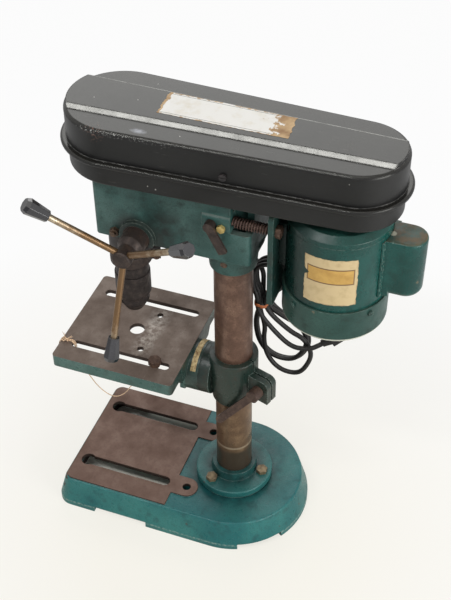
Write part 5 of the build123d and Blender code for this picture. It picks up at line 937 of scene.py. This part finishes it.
lead_route += [(-20.6, 144, 283.6), (-25.8, 152.8, 289.2)]

lead = cord_line("mains_lead", lead_route)
print("lead", round(length_of(points_of(lead)), 3), "m")
lead.data.bevel_depth = 0.003
lead.data.bevel_resolution = 5
lead.data.use_fill_caps = True
lead.data.materials.append(rubber)
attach(lead, "stand")
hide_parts("power_lead", "cord_hank")

# %% [markdown]
# ## Tie of the hank
# A strip of copper-coloured tape is wound twice round the waist of the hank, on a slant. A ribbon section
# carried round a rounded rectangle gives that, with a small rise on each turn.

# %% Copper tape
look = Finish("copper_tape", bump=0.2, depth=0.0003, radius=0.0004, wear=0.6)
stain = look.cloud(160.0, 4)
look.colour = look.mix(look.fade(stain, 0.35, 0.65), tone(214, 132, 84), tone(168, 92, 54))
copper_tape = look.done(look.spread(stain, 0.38, 0.6), look.cloud(500.0, 3), 0.35)
print("finish", copper_tape.name)

# %% Tie
TIE_MIDDLE = Vector((-0.0305, 0.076, 0.334))
TIE_HALF_X = 0.0146
TIE_HALF_Y = 0.0078
TIE_TURNS = 2
TURN_STEPS = 48
TAPE_HALF_THICK = 0.0002
TAPE_HALF_WIDE = 0.0017
LAYER_GROWTH = 0.0003
TIE_START = -0.0014
TIE_RISE = 0.0028
SLANT = 0.0016
UP = Vector((0, 0, 1))

stations = []
for step in range(TURN_STEPS * TIE_TURNS + 1):
    turns = step / TURN_STEPS
    cosine = math.cos(2 * math.pi * turns)
    sine = math.sin(2 * math.pi * turns)
    round_off = (abs(cosine) ** 4 + abs(sine) ** 4) ** -0.25
    half_x = TIE_HALF_X + LAYER_GROWTH * turns
    half_y = TIE_HALF_Y + LAYER_GROWTH * turns
    rise = TIE_START + TIE_RISE * turns / TIE_TURNS + SLANT * cosine
    place = Vector((half_x * cosine * round_off, half_y * sine * round_off, rise))
    out = Vector((cosine / TIE_HALF_X, sine / TIE_HALF_Y, 0)).normalized()
    stations.append((TIE_MIDDLE + place, out, UP))
SQUARE = [(-1, -1), (1, -1), (1, 1), (-1, 1)]
ribbon = [(a * TAPE_HALF_THICK, b * TAPE_HALF_WIDE) for a, b in SQUARE]
tie = sweep("hank_tie", stations, ribbon)
tie.data.materials.append(copper_tape)
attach(tie, "stand")
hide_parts("cord_tie")
print("tie turns", TIE_TURNS)

# %% [markdown]
# ## Twine
# A bit of tan twine is looped round the bar in front of the near table slot and tied to the loose bolt.
# Twine is three strands twisted together, so each strand is a tube that circles the cord's smooth line.

# %% Twine strands
TWINE_RADIUS = 0.00075
STRAND_RADIUS = 0.0004
STRANDS = 3
TWIST_PITCH = 0.0045
THREAD_SIDES = 6
twine_route = [
    (50, -162.6, 250),
    (50, -163.4, 266.6),
    (50, -141.6, 266.6),
    (50, -142.6, 243),
    (49, -132, 219),
    (48, -117, 191),
    (47, -98, 178),
    (47, -81, 190),
    (48, -69, 213),
    (49, -53, 235),
    (50, -38.7, 244),
]
twine_path = smooth_points(twine_route)
stations = frames_along(twine_path)
strands = []
for strand in range(STRANDS):
    travelled = 0.0
    strand_points = []
    for number, (point, side, up) in enumerate(stations):
        if number:
            travelled += (point - twine_path[number - 1]).length
        angle = 2 * math.pi * (travelled / TWIST_PITCH + strand / STRANDS)
        offset = side * math.cos(angle) + up * math.sin(angle)
        strand_points.append(point + offset * (TWINE_RADIUS - STRAND_RADIUS))
    tube = round_section(STRAND_RADIUS, THREAD_SIDES)
    strands.append(sweep(f"twine_strand_{strand}", frames_along(strand_points), tube))
print("twine", round(length_of(twine_path), 3), "m,", len(twine_path), "points")

# %% Knot and frayed ends
# Three wraps hold the twine on the bar. Their ends and the twine's own end are frayed into fibres.
WRAP_RADIUS = 0.55
END_RADIUS = 0.5
KNOT_RADIUS = 0.7
FIBRE_RADIUS = 0.22
threads = []
for x, lean in ((46.6, 1.2), (48.3, -0.8), (52.2, -1.6)):
    far = x + 2 * lean
    wrap = [(x, -163, 253), (x, -163, 264.6), (x + lean, -152, 265), (far, -141.8, 264.6)]
    threads.append((wrap + [(far, -141.4, 254)], WRAP_RADIUS))
for end in ((45.4, -147.6, 269.2), (47.6, -145.4, 270.4)):
    threads.append(([(50, -152.6, 266.8), (48.4, -150.4, 268), end], END_RADIUS))
knot_over = [(46.4, -157, 265.6), (49, -153.5, 267.2), (51.6, -153, 267), (53.6, -156, 265.6)]
knot_under = [(52.6, -150, 265.6), (50, -152.4, 267.4), (48, -155.6, 267), (46.8, -159, 265.4)]
threads += [(knot_over, KNOT_RADIUS), (knot_under, KNOT_RADIUS)]
for side, drop in ((-3.4, 5), (-1.6, 8), (0.4, 9.5), (2.2, 8), (3.8, 5.5)):
    hanging = [(50, -162.8, 251), (50 + 0.3 * side, -163.4, 247), (50 + side, -163.8, 250 - drop)]
    threads.append((hanging, FIBRE_RADIUS))
for along, lift in ((-2.5, 1.5), (-4.5, 0.6), (-6, 2.4)):
    bent = (44, -157 + 0.4 * along, 266.2 + lift)
    threads.append(([(46.6, -157, 265.6), bent, (41, -157 + along, 265.6 + lift)], FIBRE_RADIUS))
knot_threads = []
for number, (route, radius) in enumerate(threads):
    tube = round_section(radius / 1000, THREAD_SIDES)
    knot_threads.append(sweep(f"thread_{number}", frames_along(smooth_points(route)), tube))
print("knot threads", len(knot_threads))

# %% Join the threads


def join_pieces(name, pieces, material):
    """One mesh piece from several."""
    joined = bmesh.new()
    for piece in pieces:
        joined.from_mesh(piece.data)
        bpy.data.objects.remove(piece)
    mesh = bpy.data.meshes.new(name)
    joined.to_mesh(mesh)
    joined.free()
    mesh.shade_smooth()
    mesh.materials.append(material)
    return new_piece(name, mesh)


look = Finish("tan_twine", bump=0.5, depth=0.0002, radius=0.0002, wear=0.0)
fibre = look.cloud(2600.0, 3)
look.colour = look.mix(look.fade(fibre, 0.35, 0.65), tone(196, 158, 120), tone(238, 210, 178))
tan_twine = look.done(look.spread(fibre, 0.75, 0.95), fibre)
twine = join_pieces("twine_rope", strands, tan_twine)
knot = join_pieces("twine_knot", knot_threads, tan_twine)
for piece in (twine, knot):
    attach(piece, "table")
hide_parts("twine")
print("twine faces", len(twine.data.polygons), "knot faces", len(knot.data.polygons))

# %% [markdown]
# ## Tension spring
# A rusty compression spring sits on the near slide rod, between the lug of the head and the motor plate.
# A Screw modifier could make the coil. Here it is a swept mesh, because on the machine it must shorten
# when the motor slides in.

# %% Tension spring
SPRING_AXIS = Vector((0.034, 0, 0.496))
SPRING_FRONT = 0.061
SPRING_REAR = 0.104
SPRING_TURNS = 13
SPRING_RADIUS = 0.0056
WIRE_RADIUS = 0.0009
COIL_STEPS = 24
coil = []
for step in range(SPRING_TURNS * COIL_STEPS + 1):
    angle = 2 * math.pi * step / COIL_STEPS
    share = step / (SPRING_TURNS * COIL_STEPS)
    y = SPRING_FRONT + WIRE_RADIUS + (SPRING_REAR - SPRING_FRONT - 2 * WIRE_RADIUS) * share
    coil.append(SPRING_AXIS + Vector((SPRING_RADIUS * math.cos(angle), y, SPRING_RADIUS * math.sin(angle))))
spring = sweep("coil_spring", frames_along(coil), round_section(WIRE_RADIUS, 10))
spring_tones = ((44, 30, 26), (82, 60, 52), (122, 98, 86))
spring.data.materials.append(rusty("spring_rust", 260.0, spring_tones, metallic=0.3, bump=0.35))
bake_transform(spring)
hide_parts("tension_spring")
print("spring faces", len(spring.data.polygons))

# %% [markdown]
# ## V-belt
# The belt runs on the second step of both pulleys. Its section is a trapezium with the wide side out. On
# the machine it follows the motor when the motor slides.

# %% V-belt
BELT_HEIGHT = 0.5555
FRONT_WHEEL = (Vector((0, -0.0795, BELT_HEIGHT)), 0.040)
REAR_WHEEL = (Vector((0, 0.170, BELT_HEIGHT)), 0.029)
ARC_STEPS = 32
RUN_STEPS = 16
SHORTEST_RUN = 0.1
BELT_SECTION = [(-0.0028, -0.0022), (0.0028, -0.0046), (0.0028, 0.0046), (-0.0028, 0.0022)]
tilt = math.asin((FRONT_WHEEL[1] - REAR_WHEEL[1]) / (REAR_WHEEL[0].y - FRONT_WHEEL[0].y))
front_arc = (*FRONT_WHEEL, math.pi - tilt, math.pi + 2 * tilt)
rear_arc = (*REAR_WHEEL, tilt, math.pi - 2 * tilt)
stations = []
for centre, radius, start, span in (front_arc, rear_arc):
    for step in range(ARC_STEPS + 1):
        angle = start + span * step / ARC_STEPS
        out = Vector((math.cos(angle), math.sin(angle), 0))
        stations.append((centre + out * radius, out, UP))
belt_line = []
for number, (point, out, up) in enumerate(stations):
    belt_line.append((point, out, up))
    after = stations[(number + 1) % len(stations)][0]
    if (after - point).length > SHORTEST_RUN:
        belt_line += [(point.lerp(after, step / RUN_STEPS), out, up) for step in range(1, RUN_STEPS)]
belt = sweep("drive_belt", belt_line, BELT_SECTION, closed=True)
belt.data.shade_flat()
look = Finish("belt_rubber", bump=0.3, depth=0.0003, radius=0.0008, wear=0.8)
weave = look.cloud(1400.0, 2)
look.colour = look.mix(look.fade(look.cloud(60.0, 4), 0.4, 0.7), tone(32, 31, 30), tone(62, 58, 54))
look.over(tone(110, 102, 92), look.edge, 0.6)
belt.data.materials.append(look.done(look.spread(weave, 0.6, 0.85), weave))
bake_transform(belt)
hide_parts("v_belt")
print("belt faces", len(belt.data.polygons))

# %% [markdown]
# ## Paper labels
# Two old paper labels are left bare: one on the lid's raised panel, one round the motor. Each is a fine
# grid laid a fifth of a millimetre off its surface, whose border is torn by a little noise. The UV map
# runs from 0 to 1 across the paper, so frame lines and stains can be drawn by the material.

# %% Label meshes


def paper(name, place, columns, rows, bites):
    """Sheet laid by place(u, v). The bites say how far its start, end, bottom and top are torn in."""
    mesh = bpy.data.meshes.new(name)
    first, last, low, high = bites
    points = []
    places = []
    for row in range(rows + 1):
        for column in range(columns + 1):
            u = column / columns
            v = row / rows
            reach_u = first(v) + (1 - first(v) - last(v)) * u
            reach_v = low(u) + (1 - low(u) - high(u)) * v
            places.append((reach_u, reach_v))
            points.append(place(reach_u, reach_v))
    wide = columns + 1
    faces = []
    for row in range(rows):
        for column in range(columns):
            corner = row * wide + column
            faces.append((corner, corner + 1, corner + wide + 1, corner + wide))
    mesh.from_pydata(points, [], faces)
    layer = mesh.uv_layers.new(name="paper")
    for loop in mesh.loops:
        layer.data[loop.index].uv = places[loop.vertex_index]
    mesh.shade_smooth()
    return new_piece(name, mesh)


def jag(seed, size, pace=9):
    """Uneven bite along an edge."""

    def bite(along):
        coarse = noise.noise(Vector((along * pace, seed, 0.5)))
        fine = noise.noise(Vector((along * pace * 3.5, seed, 7.5)))
        return size * max(0.0, 0.4 + coarse + 0.5 * fine)

    return bite


print("paper ready")

# %% Label masks


def from_border(sheet):
    """How far a place on the paper is from its nearer border, along and across."""
    return [sheet.maths("MINIMUM", sheet.axis(name), sheet.minus(1.0, sheet.axis(name))) for name in "XY"]


def frame_line(sheet, insets, widths):
    """Thin rectangle drawn inside the border."""
    on_line = []
    inside = []
    for away, inset, width in zip(from_border(sheet), insets, widths):
        off = sheet.maths("ABSOLUTE", sheet.minus(away, inset))
        on_line.append(sheet.maths("LESS_THAN", off, width))
        inside.append(sheet.maths("GREATER_THAN", away, inset - width))
    return sheet.larger(sheet.times(on_line[0], inside[1]), sheet.times(on_line[1], inside[0]))


def border(sheet, widths):
    """What rises towards the paper's border."""
    return sheet.larger(*[sheet.fade(away, width, 0.0) for away, width in zip(from_border(sheet), widths)])


def field(sheet, left, right, low, high, soft=0.005):
    """Printed field with soft edges."""
    masks = []
    for name, start, end in (("X", left, right), ("Y", low, high)):
        masks.append(sheet.fade(sheet.axis(name), start, start + soft))
        masks.append(sheet.fade(sheet.axis(name), end, end - soft))
    return sheet.times(*masks)


def start_paper(name):
    """Finish of a label, and its recipe across the paper."""
    look = Finish(name, bump=0.1, depth=0.0002, radius=0.0003, wear=0.0)
    return look, look.at(look.add("ShaderNodeUVMap", uv_map="paper").outputs[0])


print("label masks ready")

# %% Lid label
LID_LABEL_Z = 0.6030
NEAR_CORNERS = (Vector((0.0160, -0.0305, LID_LABEL_Z)), Vector((0.0164, 0.1147, LID_LABEL_Z)))
FAR_CORNERS = (Vector((-0.0254, -0.0312, LID_LABEL_Z)), Vector((-0.0226, 0.1126, LID_LABEL_Z)))


def lid_place(u, v):
    near = NEAR_CORNERS[0].lerp(NEAR_CORNERS[1], u)
    far = FAR_CORNERS[0].lerp(FAR_CORNERS[1], u)
    return near.lerp(far, v)


lid_bites = (jag(1, 0.012), jag(2, 0.012), jag(3, 0.014, 22), jag(4, 0.014, 22))
lid_label = paper("lid_label", lid_place, columns=140, rows=44, bites=lid_bites)
look, sheet = start_paper("lid_paper")
stain = look.cloud(60.0, 5, 0.6)
look.colour = look.mix(look.fade(stain, 0.5, 0.75, 0.0, 0.6), tone(240, 238, 232), tone(222, 212, 190))
look.over(tone(70, 66, 62), frame_line(sheet, (0.02, 0.07), (0.003, 0.01)), 0.7)
along = sheet.axis("X")
ragged = look.fade(look.cloud(130.0, 5, 0.65), 0.25, 0.75)
torn_end = look.fade(look.plus(along, look.times(ragged, 0.26)), 0.985, 0.995)
torn_start = look.fade(look.minus(along, look.times(ragged, 0.06)), 0.0, -0.006)
torn_rim = look.fade(look.minus(border(sheet, (0.03, 0.09)), look.times(ragged, 1.5)), 0.06, 0.1)
backing = look.mix(look.fade(stain, 0.35, 0.65), tone(206, 174, 128), tone(150, 116, 80))
look.over(backing, look.larger(look.larger(torn_end, torn_start), torn_rim))
lid_label.data.materials.append(look.done(look.spread(stain, 0.5, 0.7), look.grain()))
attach(lid_label, "lid")
print("lid label", len(lid_label.data.polygons))

# %% Motor label
MOTOR_AXIS = Vector((0, 0.170, 0))
LABEL_RADIUS = 0.0572
LABEL_TURN = (math.radians(-23), math.radians(37))
LABEL_HEIGHT = (0.430, 0.493)
NOTCH_HEIGHT = 0.62


def motor_place(u, v):
    turn = LABEL_TURN[0] + (LABEL_TURN[1] - LABEL_TURN[0]) * u
    height = LABEL_HEIGHT[0] + (LABEL_HEIGHT[1] - LABEL_HEIGHT[0]) * v
    return MOTOR_AXIS + Vector((LABEL_RADIUS * math.cos(turn), LABEL_RADIUS * math.sin(turn), height))


def torn_side(v):
    """Left border, with the notch that is torn out of it."""
    return jag(5, 0.012)(v) + 0.1 * math.exp(-(((v - NOTCH_HEIGHT) / 0.05) ** 2))


motor_bites = (torn_side, jag(6, 0.02), jag(7, 0.012), jag(8, 0.012))
motor_label = paper("motor_label", motor_place, columns=80, rows=70, bites=motor_bites)
look, sheet = start_paper("motor_paper")
stain = look.cloud(90.0, 5, 0.6)
look.colour = look.mix(look.fade(stain, 0.48, 0.75, 0.0, 0.6), tone(198, 176, 132), tone(164, 140, 98))
amber = look.mix(look.fade(stain, 0.4, 0.7), tone(196, 156, 80), tone(176, 136, 66))
look.over(tone(112, 84, 52), field(sheet, 0.06, 0.94, 0.46, 0.80))
look.over(amber, field(sheet, 0.08, 0.92, 0.485, 0.775))
look.over(tone(126, 100, 70), border(sheet, (0.03, 0.03)), look.fade(look.cloud(190.0, 4), 0.42, 0.6))
motor_label.data.materials.append(look.done(look.spread(stain, 0.4, 0.6), look.grain()))
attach(motor_label, "motor_carriage")
print("motor label", len(motor_label.data.polygons))

# %% [markdown]
# ## Floor and light
# The machine stands on a white sweep with hardly any shadow. The floor is pale, and for rays from the
# camera it also glows a little, which thins the shadow without adding light to the machine. Near the
# machine its glow and colour are a little darker and warmer, a painted shadow. Under the hollow base it
# does not glow, so what shows through the slots is in shadow.

# %% Floor
FLOOR_REACH = 12.0
FLOOR_DROP = 0.0002
WHITE = (1, 1, 1, 1)
floor_mesh = bpy.data.meshes.new("floor")
corners = [(FLOOR_REACH * a, FLOOR_REACH * b, 0) for a, b in SQUARE]
floor_mesh.from_pydata(corners, [], [(0, 1, 2, 3)])
floor = new_piece("floor", floor_mesh)
floor.location.z = -FLOOR_DROP
material = bpy.data.materials.new("pale_floor")
material.use_nodes = True
ground = Recipe(material.node_tree)
ground.tree.nodes.clear()
ground.where = ground.add("ShaderNodeTexCoord").outputs["Object"]
# Painted shadow: within 0.7 m of the machine the glow and the floor's colour turn darker and warmer.
near = spot(ground, (0.1, 0.05, 0.0), 0.7, 0.8)
lit = ground.mix(near, WHITE, tone(251, 249, 242))
glow = ground.add("ShaderNodeEmission", {"Color": lit, "Strength": 1.0})
sheet = ground.mix(near, tone(247, 247, 247), tone(247, 242, 228))
pale = ground.add("ShaderNodeBsdfDiffuse", {"Color": sheet})
path = ground.add("ShaderNodeLightPath").outputs
seen = ground.larger(path["Is Camera Ray"], path["Is Transmission Ray"])
under = inside_box(ground, (-0.0915, -0.1635, -1.0), (0.0915, 0.0, 1.0))
share = ground.times(seen, ground.fade(near, 0.0, 1.0, 0.9, 0.74), ground.minus(1.0, under))
both = ground.add("ShaderNodeMixShader", {0: share, 1: pale.outputs[0], 2: glow.outputs[0]})
ground.add("ShaderNodeOutputMaterial", {"Surface": both.outputs[0]})
floor_mesh.materials.append(material)
print("floor", FLOOR_REACH * 2, "m wide")

# %% [markdown]
# ## World and lamps
# A soft studio could be a picture wrapped round the scene, but plain lamps are easier to move. The world
# is white where it is seen or mirrored, and dim as a light. Of the four area lamps the strip draws the
# bright line along the slope of the lid's panel, the window gives the lid's top its sheen, and the other
# two fill in.

# %% World
world = bpy.data.worlds.new("studio")
scene.world = world
world.use_nodes = True
sky = Recipe(world.node_tree)
sky.tree.nodes.clear()
path = sky.add("ShaderNodeLightPath").outputs
seen = sky.larger(path["Is Camera Ray"], path["Is Glossy Ray"])
seen = sky.larger(seen, path["Is Transmission Ray"])
backdrop = sky.add("ShaderNodeBackground", {"Color": WHITE, "Strength": 1.0})
fill = sky.add("ShaderNodeBackground", {"Color": WHITE, "Strength": 0.4})
both = sky.add("ShaderNodeMixShader", {0: seen, 1: fill.outputs[0], 2: backdrop.outputs[0]})
sky.add("ShaderNodeOutputWorld", {"Surface": both.outputs[0]})
print("world", world.name)

# %% Lamps


def lamp(name, place, aim, width, depth, power):
    """Rectangular area lamp that points at a spot."""
    data = bpy.data.lights.new(name, "AREA")
    data.shape = "RECTANGLE"
    data.size = width
    data.size_y = depth
    data.energy = power
    piece = new_piece(name, data)
    piece.location = place
    piece.rotation_euler = (Vector(aim) - Vector(place)).to_track_quat("-Z", "Y").to_euler()


lamp("strip", (1.43, -0.6, 2.6), (0, -0.6, 0.5), width=1.5, depth=0.18, power=24)
lamp("window", (-2.84, -0.98, 2.6), (0, 0.05, 0.6), width=2.0, depth=1.6, power=20)
lamp("ceiling", (0.1, 0.3, 2.7), (0, 0.1, 0.3), width=1.0, depth=1.0, power=4)
lamp("side", (0.9, 2.2, 0.85), (0, 0.15, 0.4), width=1.2, depth=1.2, power=34)
print("lamps", len(bpy.data.lights))
